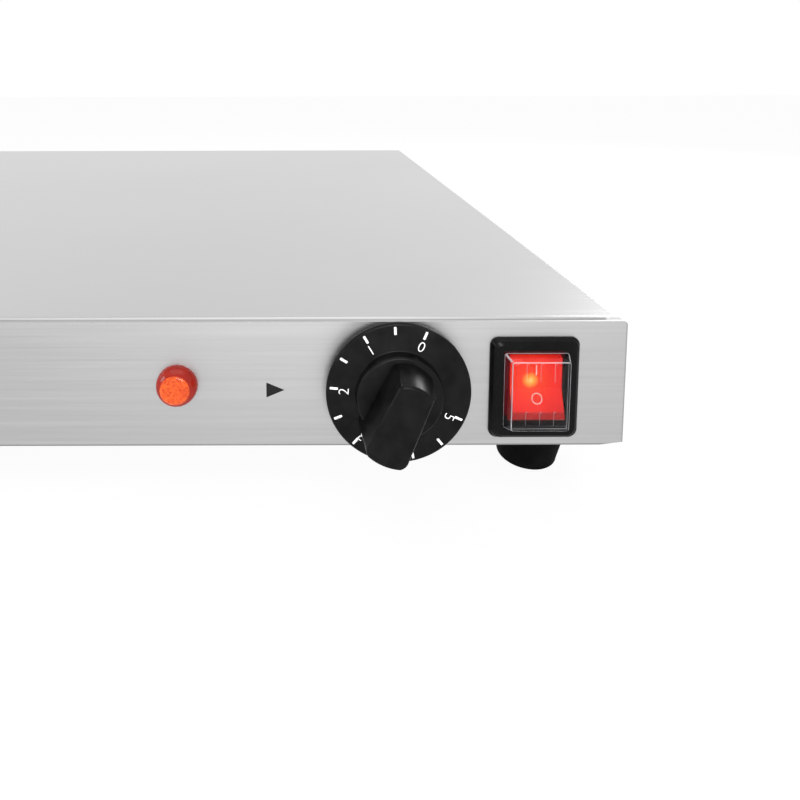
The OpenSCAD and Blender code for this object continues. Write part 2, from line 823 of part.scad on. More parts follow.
module sensor_bulb() {
  color("peru") translate([bulb_x, bulb_y, bulb_z]) rotate([0, 90, 0]) {
    cylinder(r1 = bulb_r * 0.6, r2 = bulb_r, h = bulb_nose);
    translate([0, 0, bulb_nose]) cylinder(r = bulb_r, h = bulb_l - bulb_nose - bulb_tail);
    translate([0, 0, bulb_l - bulb_tail]) cylinder(r1 = bulb_r, r2 = capillary_r * 1.25, h = bulb_tail);
  }
}

module bulb_clip() {
  t = 0.8;
  w = 10;
  foot_w = 9;
  rivet_r = 1.8;
  rivet_h = 1;
  inner_r = bulb_r + rest_gap;
  depth = spreader_z - bulb_z;
  for (x = [bulb_x + bulb_l * 0.25, bulb_x + bulb_l * 0.65]) color("silver") translate([x, bulb_y, bulb_z]) {
    rotate([90, 0, 90]) translate([0, 0, -w / 2]) linear_extrude(w) difference() {
      union() {
        circle(inner_r + t);
        translate([-inner_r - t, 0]) square([2 * (inner_r + t), depth]);
        translate([-inner_r - foot_w, depth - t]) square([2 * (inner_r + foot_w), t]);
      }
      circle(inner_r);
      translate([-inner_r, 0]) square([2 * inner_r, depth + over]);
    }
    for (s = [-1, 1]) translate([0, s * (inner_r + foot_w * 0.6), depth - t - rivet_h])
      cylinder(r = rivet_r, h = rivet_h);
  }
}

module capillary_tube() {
  color("peru") swept_tube(rounded_path(capillary_points(), capillary_bend, 5), capillary_r, [0, 1, 0]);
}

// ---- Thermostat ----

module thermostat_plate() {
  color("lightgrey") on_panel(knob_x, knob_z) translate([0, 0, -panel_back - tplate_t])
    linear_extrude(tplate_t)
    difference() {
      centred_rect(tplate_w, tplate_h, 2);
      circle(collar_r + 2 * snug);
      for (s = [-1, 1]) translate([s * tscrew_pitch / 2, 0]) circle(m4_r + snug);
    }
}

module thermostat_body() {
  z0 = -panel_back - tplate_t;
  relief_r = m4_r + 0.4;
  relief_l = 5;
  recess = [9, 12, 7];
  color("saddlebrown") on_panel(knob_x, knob_z) difference() {
    union() {
      translate([0, 0, z0 - tbody_d]) linear_extrude(tbody_d) centred_rect(tbody_w, tbody_h, 3);
      translate([0, 0, z0 - eps]) cylinder(r = collar_r, h = -z0 + eps);
    }
    translate([0, 0, z0 - shaft_root - over]) cylinder(r = shaft_r + snug, h = shaft_root + 2 * over - z0);
    for (s = [-1, 1]) translate([s * tscrew_pitch / 2, 0, z0 - relief_l])
      cylinder(r = relief_r, h = relief_l + over);
    for (s = [-1, 1]) translate([s * tbody_w / 2, 0, z0 - tbody_d - over]) linear_extrude(recess[2] + over)
      square([recess[0], recess[1]], center = true);
  }
}

module thermostat_capsule() {
  color("silver") on_panel(knob_x, knob_z) translate([0, 0, -tblock_back - capsule_t]) {
    cylinder(r1 = capsule_r - capsule_draft, r2 = capsule_r, h = capsule_t - capsule_rim);
    translate([0, 0, capsule_t - capsule_rim]) cylinder(r = capsule_r, h = capsule_rim);
  }
}

module thermostat_shaft() {
  l = panel_back + tplate_t + shaft_root;
  color("lightgrey") on_panel(knob_x, knob_z) rotate(-grip_angle) {
    translate([0, 0, -l]) cylinder(r = shaft_r, h = l + knob_gap);
    linear_extrude(shaft_end) d_profile(shaft_r, shaft_flat);
  }
}

module thermostat_screws() {
  color("lightgrey") on_panel(knob_x, knob_z) for (s = [-1, 1]) translate([s * tscrew_pitch / 2, 0, 0]) {
    cylinder(r1 = head_r, r2 = head_r - head_draft, h = head_h);
    translate([0, 0, -panel_back - tplate_t - stud_tip])
      cylinder(r = m4_r, h = panel_back + tplate_t + stud_tip + over);
  }
}

module thermostat_terminals() {
  inset = 2.4;
  root = 7;
  color("goldenrod") on_panel(knob_x, knob_z) for (s = [-1, 1])
    translate([s * (tbody_w / 2 - inset), 0, -tblock_back + root]) rotate([0, 0, 90]) tab(2 * root);
}

// ---- Knob ----

// Everything beside the grip, from inside the skirt up
module grip_side(s) {
  mean = (grip_w1 + grip_w2) / 4;
  lean = atan((grip_w2 - grip_w1) / (2 * (head_top_r + tail_end_r)));
  root = mean + grip_slope * (grip_z - grip_edge - grip_root);
  rotate([0, 0, s * lean]) translate([0, 2 * skirt_r, 0]) rotate([90, 0, 0]) linear_extrude(4 * skirt_r)
    polygon([
      [s * root, grip_root], [s * mean, grip_z - grip_edge], [s * (mean - grip_edge), grip_z],
      [s * (mean - grip_edge), grip_z + over], [s * skirt_r, grip_z + over], [s * skirt_r, grip_root]
    ]);
}

module knob_outline() {
  polygon([
    [0, knob_gap], [shroud_r, knob_gap], [shroud_r, skirt_back], [skirt_r - skirt_edge_r, skirt_back],
    [skirt_r, skirt_back + skirt_edge_r], [skirt_r, skirt_z - skirt_edge_r],
    [skirt_r - skirt_edge_r, skirt_z], [hub_r, skirt_z], [hub_r - hub_draft, hub_z], [0, hub_z]
  ]);
  translate([skirt_r - skirt_edge_r, skirt_z - skirt_edge_r]) circle(skirt_edge_r);
}

// The grip: its tail reaches past the hub, its head slopes down to the hub's shoulder
module grip() {
  head_foot_r = head_end_r + (head_end_r - head_top_r) * (hub_z - grip_root) / (grip_z - grip_edge - hub_z);
  difference() {
    rotate_extrude($fn = 96) polygon([
      [0, skirt_back + over], [tail_end_r, skirt_back + over], [tail_end_r, grip_z - grip_edge],
      [tail_end_r - grip_edge, grip_z], [0, grip_z]
    ]);
    rotate_extrude(angle = 180, $fn = 96) polygon([
      [head_foot_r, grip_root], [head_top_r, grip_z - grip_edge], [head_top_r - grip_edge, grip_z],
      [head_top_r - grip_edge, grip_z + over], [skirt_r, grip_z + over], [skirt_r, grip_root]
    ]);
    for (s = [-1, 1]) grip_side(s);
  }
}

// Space behind the knob: it clears the mounting screws as the knob turns
module knob_hollow() {
  translate([0, 0, -over]) ring(shroud_r - shroud_wall, boss_r, skirt_back + over);
  ring(hub_r - hub_wall, boss_r, hub_z - hub_roof);
}

module knob_ribs() {
  z0 = head_h + rib_gap;
  for (a = [30:60:330]) rotate(a) translate([boss_r - over, -rib_t / 2, z0])
    cube([shroud_r - shroud_wall - boss_r + 2 * over, rib_t, skirt_back - z0 + over]);
}

module control_knob() {
  color("#1c1c1c") on_panel(knob_x, knob_z) rotate(-grip_angle) difference() {
    union() {
      difference() {
        union() {
          rotate_extrude($fn = 96) knob_outline();
          grip();
        }
        knob_hollow();
      }
      knob_ribs();
    }
    linear_extrude(shaft_end + fit) d_profile(shaft_r + snug, shaft_flat + snug);
    translate([0, 0, -over]) cylinder(r = boss_r + clip_t + fit, h = clip_z - fit + over);
  }
}

// Spring ring round the split boss
module knob_clip() {
  color("lightgrey") on_panel(knob_x, knob_z) rotate(-grip_angle + (360 - clip_angle) / 2)
    translate([0, 0, clip_z]) rotate_extrude(angle = clip_angle)
      translate([boss_r + 2 * snug, 0]) square([clip_t, head_h + over - clip_z - fit]);
}

// ---- Rocker switch ----

module switch_housing() {
  color("#202020") on_panel(switch_x, switch_z) difference() {
    union() {
      hull() {
        linear_extrude(bezel_edge) centred_rect(bezel_w, bezel_h, bezel_r);
        linear_extrude(bezel_t - bezel_edge)
          centred_rect(bezel_w - bezel_draft, bezel_h - bezel_draft, bezel_r);
        linear_extrude(bezel_t) centred_rect(bezel_w - 2 * bezel_draft, bezel_h - 2 * bezel_draft, bezel_r);
      }
      translate([0, 0, -housing_d]) linear_extrude(housing_d + eps)
        centred_rect(housing_w, housing_h, pocket_r);
      for (s = [-1, 1]) rotate([0, 0, s * 90]) switch_catch();
    }
    translate([0, 0, bezel_t - ledge_d]) linear_extrude(ledge_d + over)
      square([cover_w + 2 * ledge_gap, cover_h + 2 * ledge_gap], center = true);
    translate([0, 0, -pocket_d]) linear_extrude(pocket_d + bezel_t)
      centred_rect(pocket_w, pocket_h, pocket_r);
    translate([0, 0, axis_z]) rotate([0, 90, 0])
      cylinder(r = pin_r + snug, h = pocket_w + 2 * pin_reach, center = true);
  }
}

// Wedge that catches behind the panel, on the side of local +Y turned to the housing's side
module switch_catch() {
  z1 = -panel_back - fit;
  translate([catch_w / 2, -housing_w / 2, 0]) rotate([0, -90, 0]) linear_extrude(catch_w)
    polygon([[z1, fit], [z1, -catch_reach], [z1 - catch_l, 0], [z1 - catch_l, fit]]);
}

// Profile of the rocker about its axis: local X points out, local Y up
module rocker_profile(inset) {
  r = rocker_r - inset;
  face = rocker_face - inset;
  intersection() {
    circle(r);
    polygon([
      [rocker_back - (inset > 0 ? r : 0), -2 * r], [face + 2 * r * tan(rocker_tilt), -2 * r], [face, 0],
      [face + 2 * r * tan(rocker_tilt), 2 * r], [rocker_back - (inset > 0 ? r : 0), 2 * r]
    ]);
  }
}

// Tipped with its upper end in, which is on
module switch_rocker() {
  color("red") on_panel(switch_x, switch_z) translate([0, 0, axis_z]) rotate([-rocker_tilt, 0, 0])
    difference() {
    union() {
      rocker_solid(rocker_w, 0);
      rotate([0, 90, 0]) cylinder(r = pin_r, h = pocket_w + 2 * pin_reach - 2 * snug, center = true);
    }
    rocker_solid(rocker_w - 2 * rocker_wall, rocker_wall);
  }
}

module rocker_solid(w, inset) {
  translate([w / 2, 0, 0]) rotate([0, -90, 0]) linear_extrude(w) rocker_profile(inset);
}

// Glow lamp carried inside the rocker
module switch_lamp() {
  l = 9;
  r = 1.8;
  wire_r = 0.3;
  z = rocker_face - rocker_wall - r - 2 * fit;
  color("orange") on_panel(switch_x, switch_z) translate([0, 0, axis_z]) rotate([-rocker_tilt, 0, 0])
    translate([0, 0, z]) rotate([0, 90, 0]) {
      cylinder(r = r, h = l, center = true);
      cylinder(r = wire_r, h = rocker_w - 2 * rocker_wall, center = true);
    }
}

module switch_terminals() {
  l = 9;
  color("goldenrod") on_panel(switch_x, switch_z) for (x = [-5, 5], y = [-7, 7])
    translate([x, y, -housing_d]) tab(l);
}

module switch_cover() {
  z0 = bezel_t - ledge_d;
  z1 = bezel_t + cover_t;
  inner_w = cover_w - 2 * cover_wall;
  inner_h = cover_h - 2 * cover_wall;
  rib_y = cover_h / 2 - cover_draft - cover_rib_inset;
  color([0.9, 0.9, 0.9, 0.4]) on_panel(switch_x, switch_z) {
    difference() {
      union() {
        translate([0, 0, z0]) linear_extrude(ledge_d) square([cover_w, cover_h], center = true);
        drafted_block(cover_w, cover_h, bezel_t - eps, z1, cover_draft);
      }
      translate([0, 0, z0 - over]) linear_extrude(ledge_d + over) square([inner_w, inner_h], center = true);
      drafted_block(inner_w, inner_h, bezel_t - eps, z1 - cover_wall, cover_draft);
    }
    for (x = cover_rib_xs, y = [-rib_y, rib_y]) translate([x, y, z1 - eps])
      linear_extrude(cover_rib_h) square([cover_rib_w, cover_rib_l], center = true);
  }
}

// ---- Indicator lamp ----

module indicator_lens() {
  r1 = dome_r - dome_edge[0];
  r2 = dome_r - dome_edge[1];
  color("orangered") on_panel(lamp_x, lamp_z) difference() {
    rotate_extrude() {
      polygon([[0, 0], [lens_r, 0], [lens_r, rim_t - rim_edge], [lens_r - rim_edge, rim_t], [0, rim_t]]);
      polygon([
        [0, rim_t - eps], [dome_r, rim_t - eps], [r1, lens_z - dome_edge[1]], [r2, lens_z], [0, lens_z]
      ]);
    }
    translate([0, 0, -over]) cylinder(r = dome_r - dome_wall, h = lens_z);
  }
}

module indicator_body() {
  color("ivory") on_panel(lamp_x, lamp_z) translate([0, 0, -barrel_l]) {
    cylinder(r = barrel_r, h = barrel_l);
    translate([0, 0, barrel_l - eps]) cylinder(r = lamp_r, h = lens_z - dome_wall - over);
  }
}

module indicator_nut() {
  color("lightgrey") on_panel(lamp_x, lamp_z) translate([0, 0, -panel_back - lamp_nut_h])
    hex_nut(2 * barrel_r + 4, barrel_r + snug, lamp_nut_h);
}

module indicator_terminals() {
  l = 8;
  color("goldenrod") on_panel(lamp_x, lamp_z) for (y = [-2.6, 2.6]) translate([0, y, -barrel_l]) tab(l);
}

// ---- Power entry ----

module cable_gland() {
  color("#303030") on_rear(gland_x, gland_z) difference() {
    union() {
      cylinder(r = hex_w / sqrt(3), h = hex_t, $fn = 6);
      translate([0, 0, -thread_l]) cylinder(r = gland_r, h = thread_l + eps);
      translate([0, 0, hex_t - eps]) cylinder(r = gland_r, h = body_rim_l);
    }
    translate([0, 0, -thread_l - over])
      cylinder(r = seal_r + 2 * snug, h = thread_l + hex_t + body_rim_l + 2 * over);
  }
}

// Sleeve whose collar lies on the gland's rim, held down by the cap
module gland_seal() {
  z1 = hex_t + body_rim_l + seal_collar;
  color("dimgray") on_rear(gland_x, gland_z) {
    translate([0, 0, z1 - seal_l]) ring(seal_r, cable_r, seal_l);
    translate([0, 0, z1 - seal_collar]) ring(gland_r - fit, cable_r, seal_collar);
  }
}

module gland_cap() {
  z0 = hex_t + fit;
  z1 = hex_t + body_rim_l + seal_collar - z0;
  l = gland_reach - z0;
  nut_r = gland_r + cap_wall;
  mouth_r = cable_r + 0.8;
  crown_r = nut_r - mouth_r - over;
  color("#303030") on_rear(gland_x, gland_z) translate([0, 0, z0]) difference() {
    union() {
      cylinder(r = nut_r * 2 / sqrt(3), h = l / 2, $fn = 6);
      rotate_extrude() {
        square([nut_r, l - crown_r]);
        square([nut_r - crown_r, l]);
        translate([nut_r - crown_r, l - crown_r]) circle(crown_r);
      }
    }
    translate([0, 0, -over]) cylinder(r = gland_r + snug, h = z1 + over);
    translate([0, 0, -over]) cylinder(r = mouth_r, h = l + 2 * over);
  }
}

module gland_locknut() {
  color("#303030") on_rear(gland_x, gland_z) translate([0, 0, -sheet_t - locknut_t])
    hex_nut(hex_w, gland_r + snug, locknut_t);
}

module terminal_block() {
  color("ivory") difference() {
    union() {
      translate([block_x, block_y, base_top]) linear_extrude(block_h) centred_rect(block_w, block_d, block_r);
      for (i = [-1:1]) translate([block_x + i * pole_pitch, block_y, base_top]) linear_extrude(tower_h)
        centred_rect(tower_w, block_d * 2 / 3, tower_r);
    }
    for (i = [-1:1]) translate([block_x + i * pole_pitch, block_y, base_top + pole_z]) {
      rotate([90, 0, 0]) cylinder(r = pole_r, h = block_d + 2 * over, center = true);
      for (y = [-clamp_screw_y, clamp_screw_y]) translate([0, y, 0]) cylinder(r = m3_r + snug, h = tower_h);
    }
    at_places(block_screw_places, base_top - over) cylinder(r = m3_hole_r, h = block_h + 2 * over);
  }
}

module terminal_screws() {
  color("lightgrey") for (i = [-1:1], y = [-clamp_screw_y, clamp_screw_y])
    translate([block_x + i * pole_pitch, block_y + y, base_top + clamp_screw_z])
      cylinder(r = m3_r, h = tower_h - clamp_screw_z - stud_tip);
}

module block_screws() {
  color("lightgrey") at_places(block_screw_places, foot_h) {
    translate([0, 0, -m3_head_h]) cylinder(r1 = m3_head_r - m5_head_draft, r2 = m3_head_r, h = m3_head_h);
    translate([0, 0, -m3_head_h / 2]) cylinder(r = m3_r, h = m3_head_h / 2 + base_t + block_h + stud_tip);
    translate([0, 0, base_t + block_h]) cylinder(r = m3_head_r, h = m3_head_h);
  }
}

module earth_stud() {
  color("lightgrey") translate([earth_x, earth_y, base_top]) {
    cylinder(r = m4_r, h = earth_l);
    cylinder(r = earth_base_r, h = washer_t);
  }
}

module earth_nut() {
  color("goldenrod") translate([earth_x, earth_y, base_top + washer_t]) {
    ring(washer_r, m4_r + snug, washer_t);
    translate([0, 0, washer_t]) hex_nut(m4_nut_w, m4_r + snug, m4_nut_h);
  }
}

top_plate();
front_fascia();
base_plate();
foot(foot_places[0]);  // foot_front_left
foot(foot_places[1]);  // foot_front_right
foot(foot_places[2]);  // foot_rear_left
foot(foot_places[3]);  // foot_rear_right
foot_screws();
foot_washers();
foot_nuts();
base_screws();
fascia_nuts();
heat_spreader();
heating_element();
element_terminals();
element_clamps();
weld_studs();
clamp_nuts();
insulation_pan();
insulation_blanket();
pan_nuts();
pan_grommet();
thermostat_plate();
thermostat_body();
thermostat_capsule();
thermostat_shaft();
thermostat_screws();
thermostat_terminals();
capillary_tube();
sensor_bulb();
bulb_clip();
control_knob();
knob_clip();
switch_housing();
switch_rocker();
switch_lamp();
switch_terminals();
switch_cover();
indicator_lens();
indicator_body();
indicator_nut();
indicator_terminals();
cable_gland();
gland_seal();
gland_cap();
gland_locknut();
terminal_block();
terminal_screws();
block_screws();
earth_stud();
earth_nut();
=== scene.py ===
import json
import math

import bpy
from mathutils import Matrix, Vector


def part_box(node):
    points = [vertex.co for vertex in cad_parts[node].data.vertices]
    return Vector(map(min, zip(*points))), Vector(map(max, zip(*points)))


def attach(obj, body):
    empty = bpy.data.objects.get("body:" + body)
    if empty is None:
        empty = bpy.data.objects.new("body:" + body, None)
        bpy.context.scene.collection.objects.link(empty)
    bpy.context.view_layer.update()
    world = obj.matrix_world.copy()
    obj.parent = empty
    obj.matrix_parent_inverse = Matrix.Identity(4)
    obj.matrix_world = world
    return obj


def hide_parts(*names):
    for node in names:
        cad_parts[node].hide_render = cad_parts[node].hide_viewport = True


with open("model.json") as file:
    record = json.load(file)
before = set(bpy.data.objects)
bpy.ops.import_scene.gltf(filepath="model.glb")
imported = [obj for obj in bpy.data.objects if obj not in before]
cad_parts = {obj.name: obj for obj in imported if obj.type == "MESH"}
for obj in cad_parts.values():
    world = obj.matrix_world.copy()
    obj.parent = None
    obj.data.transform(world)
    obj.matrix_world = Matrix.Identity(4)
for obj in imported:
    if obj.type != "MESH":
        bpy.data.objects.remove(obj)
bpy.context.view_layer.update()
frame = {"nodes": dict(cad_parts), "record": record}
nodes = frame["nodes"]
mm = 0.001
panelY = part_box("front_fascia")[0].y  # front face of the fascia
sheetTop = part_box("top_plate")[1].z
print("frame loaded:", len(nodes), "nodes")


# ---------- small modelling helpers ----------

def clearPick():
    if bpy.context.object and bpy.context.object.mode != "OBJECT":
        bpy.ops.object.mode_set(mode="OBJECT")
    for thing in list(bpy.context.selected_objects):
        thing.select_set(False)


def pick(*things):
    clearPick()
    for thing in things:
        thing.select_set(True)
    bpy.context.view_layer.objects.active = things[0]
    return things[0]


def begin(name, primitive, **where):
    clearPick()
    getattr(bpy.ops.mesh, "primitive_" + primitive + "_add")(**where)
    made = bpy.context.object
    made.name = name
    made.data.name = name
    return made


def unmark(mesh):
    for part in (mesh.vertices, mesh.edges, mesh.polygons):
        part.foreach_set("select", [False] * len(part))


def openFaces(thing, test):  # edit mode with the faces that pass the test selected
    pick(thing)
    unmark(thing.data)
    for face in thing.data.polygons:
        face.select = bool(test(face.center, face.normal))
    bpy.context.tool_settings.mesh_select_mode = (False, False, True)
    bpy.ops.object.mode_set(mode="EDIT")


def openEdges(thing, test):  # the same for edges, the test gets both ends
    pick(thing)
    mesh = thing.data
    unmark(mesh)
    for edge in mesh.edges:
        a, b = (mesh.vertices[i].co for i in edge.vertices)
        edge.select = bool(test(a, b))
    bpy.context.tool_settings.mesh_select_mode = (False, True, False)
    bpy.ops.object.mode_set(mode="EDIT")


def close():
    bpy.ops.object.mode_set(mode="OBJECT")


def bevelEdges(thing, test, width, segments=3):
    openEdges(thing, test)
    bpy.ops.mesh.bevel(offset=width, segments=segments, affect="EDGES", clamp_overlap=True)
    close()


def cleanUp(thing, merge=1e-6):
    pick(thing)
    bpy.ops.object.mode_set(mode="EDIT")
    bpy.ops.mesh.select_all(action="SELECT")
    bpy.ops.mesh.remove_doubles(threshold=merge)
    bpy.ops.mesh.normals_make_consistent(inside=False)
    close()


def modify(thing, kind, **settings):
    pick(thing)
    modifier = thing.modifiers.new(kind.lower(), kind)
    for key, value in settings.items():
        setattr(modifier, key, value)
    bpy.ops.object.modifier_apply(modifier=modifier.name)


def merge(thing, other, how="UNION"):
    modify(thing, "BOOLEAN", operation=how, object=other, solver="EXACT")
    bpy.data.objects.remove(other)


def place(thing, matrix):  # puts the place into the mesh, the object stays at the origin
    pick(thing)
    thing.matrix_world = matrix @ thing.matrix_world
    bpy.ops.object.transform_apply(location=True, rotation=True, scale=True)


def joinAll(name, things):
    pick(*things)
    if len(things) > 1:
        bpy.ops.object.join()
    things[0].name = name
    things[0].data.name = name
    return things[0]


def smooth(thing, angle=35):
    pick(thing)
    bpy.ops.object.shade_smooth_by_angle(angle=math.radians(angle))


def onPanel(x, z):  # local Z comes out of the fascia, local Y goes up
    return Matrix.Translation((x, panelY, z)) @ Matrix.Rotation(math.radians(90), 4, "X")


def lathe(name, rings, segments=96):  # a disc carried up and in, ring by ring
    thing = begin(name, "circle", vertices=segments, radius=rings[0][0], fill_type="NGON", location=(0, 0, 0))
    place(thing, Matrix.Translation((0, 0, rings[0][1])))
    openFaces(thing, lambda c, n: True)
    for (r0, z0), (r1, z1) in zip(rings, rings[1:]):
        bpy.ops.mesh.extrude_region_move(TRANSFORM_OT_translate={"value": (0, 0, z1 - z0)})
        bpy.ops.transform.resize(value=(r1 / r0, r1 / r0, 1), center_override=(0, 0, z1))
    close()
    cleanUp(thing)
    return thing


def ringEdges(radius, height, slack=2e-5):  # test for the edges of one ring
    def test(a, b):
        return all(abs(p.z - height) < slack and abs(math.hypot(p.x, p.y) - radius) < slack for p in (a, b))
    return test


def finished(thing, body, finish, stands=(), angle=35):
    smooth(thing, angle)
    thing.data.materials.clear()
    thing.data.materials.append(finish)
    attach(thing, body)
    if stands:
        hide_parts(*stands)
    print("piece", thing.name, len(thing.data.polygons), "faces")
    return thing


# the faces that pass get it, the test is in the piece's own frame
def secondFinish(thing, finish, matrix, test):
    thing.data.materials.append(finish)
    back = matrix.inverted()
    for face in thing.data.polygons:
        if test(back @ face.center, back.to_3x3() @ face.normal):
            face.material_index = 1


# ---------- shader helpers ----------

class Wire:  # an output socket that can be used in arithmetic
    def __init__(self, finish, socket):
        self.finish, self.socket = finish, socket

    def join(self, kind, other, turned=False):
        pair = (other, self) if turned else (self, other)
        return self.finish.node("Math", {"operation": kind}, {0: pair[0], 1: pair[1]})

    def __add__(self, other):
        return self.join("ADD", other)

    def __radd__(self, other):
        return self.join("ADD", other, True)

    def __sub__(self, other):
        return self.join("SUBTRACT", other)

    def __mul__(self, other):
        return self.join("MULTIPLY", other)

    def __truediv__(self, other):
        return self.join("DIVIDE", other)

    def __pow__(self, other):
        return self.join("POWER", other)

    def clip(self):
        return self.finish.node("Clamp", {}, {0: self})


class Finish:
    def __init__(self, name, **plain):
        self.material = bpy.data.materials.new(name)
        self.material.use_nodes = True
        self.tree = self.material.node_tree
        self.shader = self.tree.nodes["Principled BSDF"]
        self.set(**plain)

    def node(self, kind, settings, inputs, out=0):
        made = self.tree.nodes.new("ShaderNode" + kind)
        for key, value in settings.items():
            if key == "stops":
                while len(made.color_ramp.elements) < len(value):
                    made.color_ramp.elements.new(0.5)
                for element, (at, colour) in zip(made.color_ramp.elements, value):
                    element.position, element.color = at, (*colour, 1)
            else:
                setattr(made, key, value)
        for key, value in inputs.items():
            self.feed(made.inputs[key], value)
        return Wire(self, made.outputs[out])

    def feed(self, socket, value):
        if isinstance(value, Wire):
            self.tree.links.new(value.socket, socket)
        elif isinstance(value, tuple) and len(value) == 3 and socket.type == "RGBA":
            socket.default_value = (*value, 1)
        else:
            socket.default_value = value

    def set(self, **plain):
        for key, value in plain.items():
            words = "".join(" " + c if c.isupper() else c for c in key).title().replace("Ior", "IOR")
            self.feed(self.shader.inputs[words], value)

    def spot(self, stretch=(1, 1, 1)):
        base = self.node("TexCoord", {}, {}, "Object")
        return self.node("Mapping", {}, {"Vector": base, "Scale": stretch})

    def along(self, axis):  # one coordinate of the place, in metres
        return self.node("SeparateXYZ", {}, {0: self.spot()}, axis)

    def noise(self, scale, detail=3.0, rough=0.5, stretch=(1, 1, 1), out=0):
        return self.node("TexNoise", {}, {"Vector": self.spot(stretch), "Scale": scale, "Detail": detail,
                                          "Roughness": rough}, out)

    def cells(self, scale, out):
        return self.node("TexVoronoi", {"feature": "F1"}, {"Vector": self.spot(), "Scale": scale}, out)

    def span(self, wire, low, high, to0=0.0, to1=1.0):
        return self.node("MapRange", {"clamp": True}, {0: wire, 1: low, 2: high, 3: to0, 4: to1})

    def tint(self, factor, first, second):
        made = self.tree.nodes.new("ShaderNodeMix")
        made.data_type, made.blend_type = "RGBA", "MIX"
        self.feed(made.inputs[0], factor)
        self.feed(made.inputs[6], first)
        self.feed(made.inputs[7], second)
        return Wire(self, made.outputs[2])

    def bump(self, height, depth, strength):
        inputs = {"Height": height, "Distance": depth, "Strength": strength}
        self.feed(self.shader.inputs["Normal"], self.node("Bump", {}, inputs))


# ---------- finishes ----------

def satinTop():
    # the front bend is darkened where it meets the fascia: painted shade for the groove between the top and
    # the fascia, ending short of the right corner
    look = {"light": (0.57, 0.57, 0.574), "dark": (0.535, 0.536, 0.54), "front": (0.22, 0.22, 0.22),
            "bend": 0.7, "nearFrom": 4, "nearTo": 6, "cornerX": 319, "grain": 900, "polish": 0.30}
    f = Finish("satinTopSteel", metallic=1.0)
    grain = f.noise(look["grain"], 2.0, 0.6, (0.02, 1, 1))
    cloud = f.noise(5.5, 3.0, 0.55)
    flat = f.tint(f.span(cloud * 0.7 + grain * 0.3, 0.35, 0.65), look["dark"], look["light"])
    low = f.span(f.along(2), sheetTop - look["bend"] * mm, sheetTop, 1.0, 0.0)
    near = f.span(f.along(1), panelY + look["nearFrom"] * mm, panelY + look["nearTo"] * mm, 1.0, 0.0)
    # painted shade: the lowest band of the bend near the fascia is darkened towards the dark front colour
    seamShade = low * near * f.span(f.along(0), (look["cornerX"] - 1) * mm, look["cornerX"] * mm, 1.0, 0.0)
    f.set(baseColor=f.tint(seamShade, flat, look["front"]))
    f.set(roughness=look["polish"] + (cloud - 0.5) * 0.10 + (grain - 0.5) * 0.10)
    f.bump(grain, 0.00002, 0.25)
    return f.material


def brushedPanel():
    look = {"light": (0.46, 0.46, 0.46), "dark": (0.41, 0.41, 0.412), "edgeShade": (0.16, 0.16, 0.16),
            "edge": 0.7, "grain": 1500, "polish": 0.48}
    f = Finish("brushedPanelSteel", metallic=1.0)
    fine = f.noise(look["grain"], 2.0, 0.7, (0.008, 1, 1))
    long = f.noise(420, 2.0, 0.5, (0.004, 1, 1))
    cloud = f.noise(9.0, 2.0, 0.5, (0.5, 1, 1))
    sheet = f.tint(f.span(fine * 0.5 + long * 0.35 + cloud * 0.15, 0.36, 0.64), look["dark"], look["light"])
    low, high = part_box("front_fascia")
    # painted shade along the bottom edge and a weaker painted dark reflection down the right end of the
    # fascia
    edge = (f.span(f.along(2), low.z, low.z + look["edge"] * mm, 1.0, 0.0)
            + f.span(f.along(0), high.x - look["edge"] * mm, high.x, 0.0, 0.6)).clip()
    f.set(baseColor=f.tint(edge, sheet, look["edgeShade"]))
    f.set(roughness=look["polish"] + (fine - 0.5) * 0.16 + (cloud - 0.5) * 0.08)
    f.bump(fine, 0.00002, 0.35)
    return f.material


def spangled():
    f = Finish("galvanisedSheet", metallic=1.0)
    flake = f.cells(110, "Color")
    tone = f.node("SeparateColor", {}, {0: flake}, 0)
    haze = f.noise(30, 4.0, 0.6)
    f.set(baseColor=f.tint(f.span(tone * 0.6 + haze * 0.4, 0.15, 0.85), (0.40, 0.42, 0.43),
                           (0.66, 0.68, 0.70)))
    f.set(roughness=0.34 + tone * 0.16 + (haze - 0.5) * 0.12)
    f.bump(haze, 0.00004, 0.2)
    return f.material


def zincPlate():
    f = Finish("zincPlate", metallic=1.0)
    haze = f.noise(260, 4.0, 0.6)
    blot = f.noise(45, 2.0, 0.5)
    f.set(baseColor=f.tint(f.span(blot, 0.35, 0.65), (0.52, 0.53, 0.55), (0.68, 0.69, 0.71)))
    f.set(roughness=0.28 + haze * 0.16)
    f.bump(haze, 0.00003, 0.3)
    return f.material


def millAluminium():
    f = Finish("millAluminium", metallic=1.0)
    roll = f.noise(500, 3.0, 0.6, (1, 0.02, 1))
    blot = f.noise(18, 3.0, 0.5)
    f.set(baseColor=f.tint(f.span(roll * 0.5 + blot * 0.5, 0.35, 0.65), (0.66, 0.67, 0.69),
                           (0.80, 0.81, 0.82)))
    f.set(roughness=0.30 + roll * 0.14)
    f.bump(roll, 0.00003, 0.3)
    return f.material


def oxidisedTube():
    f = Finish("oxidisedHeaterTube", metallic=0.85)
    scale = f.noise(140, 5.0, 0.65)
    heat = f.noise(14, 2.0, 0.5)
    f.set(baseColor=f.tint(f.span(scale * 0.6 + heat * 0.4, 0.35, 0.65), (0.10, 0.095, 0.085),
                           (0.30, 0.28, 0.26)))
    f.set(roughness=0.42 + scale * 0.22)
    f.bump(scale, 0.00005, 0.4)
    return f.material


def firedCeramic():
    f = Finish("firedCeramic")
    speck = f.noise(900, 3.0, 0.6)
    wash = f.noise(60, 2.0, 0.5)
    f.set(baseColor=f.tint(f.span(speck * 0.4 + wash * 0.6, 0.3, 0.7), (0.74, 0.70, 0.60),
                           (0.86, 0.83, 0.76)))
    f.set(roughness=0.45 + speck * 0.2)
    f.bump(speck, 0.00003, 0.4)
    return f.material


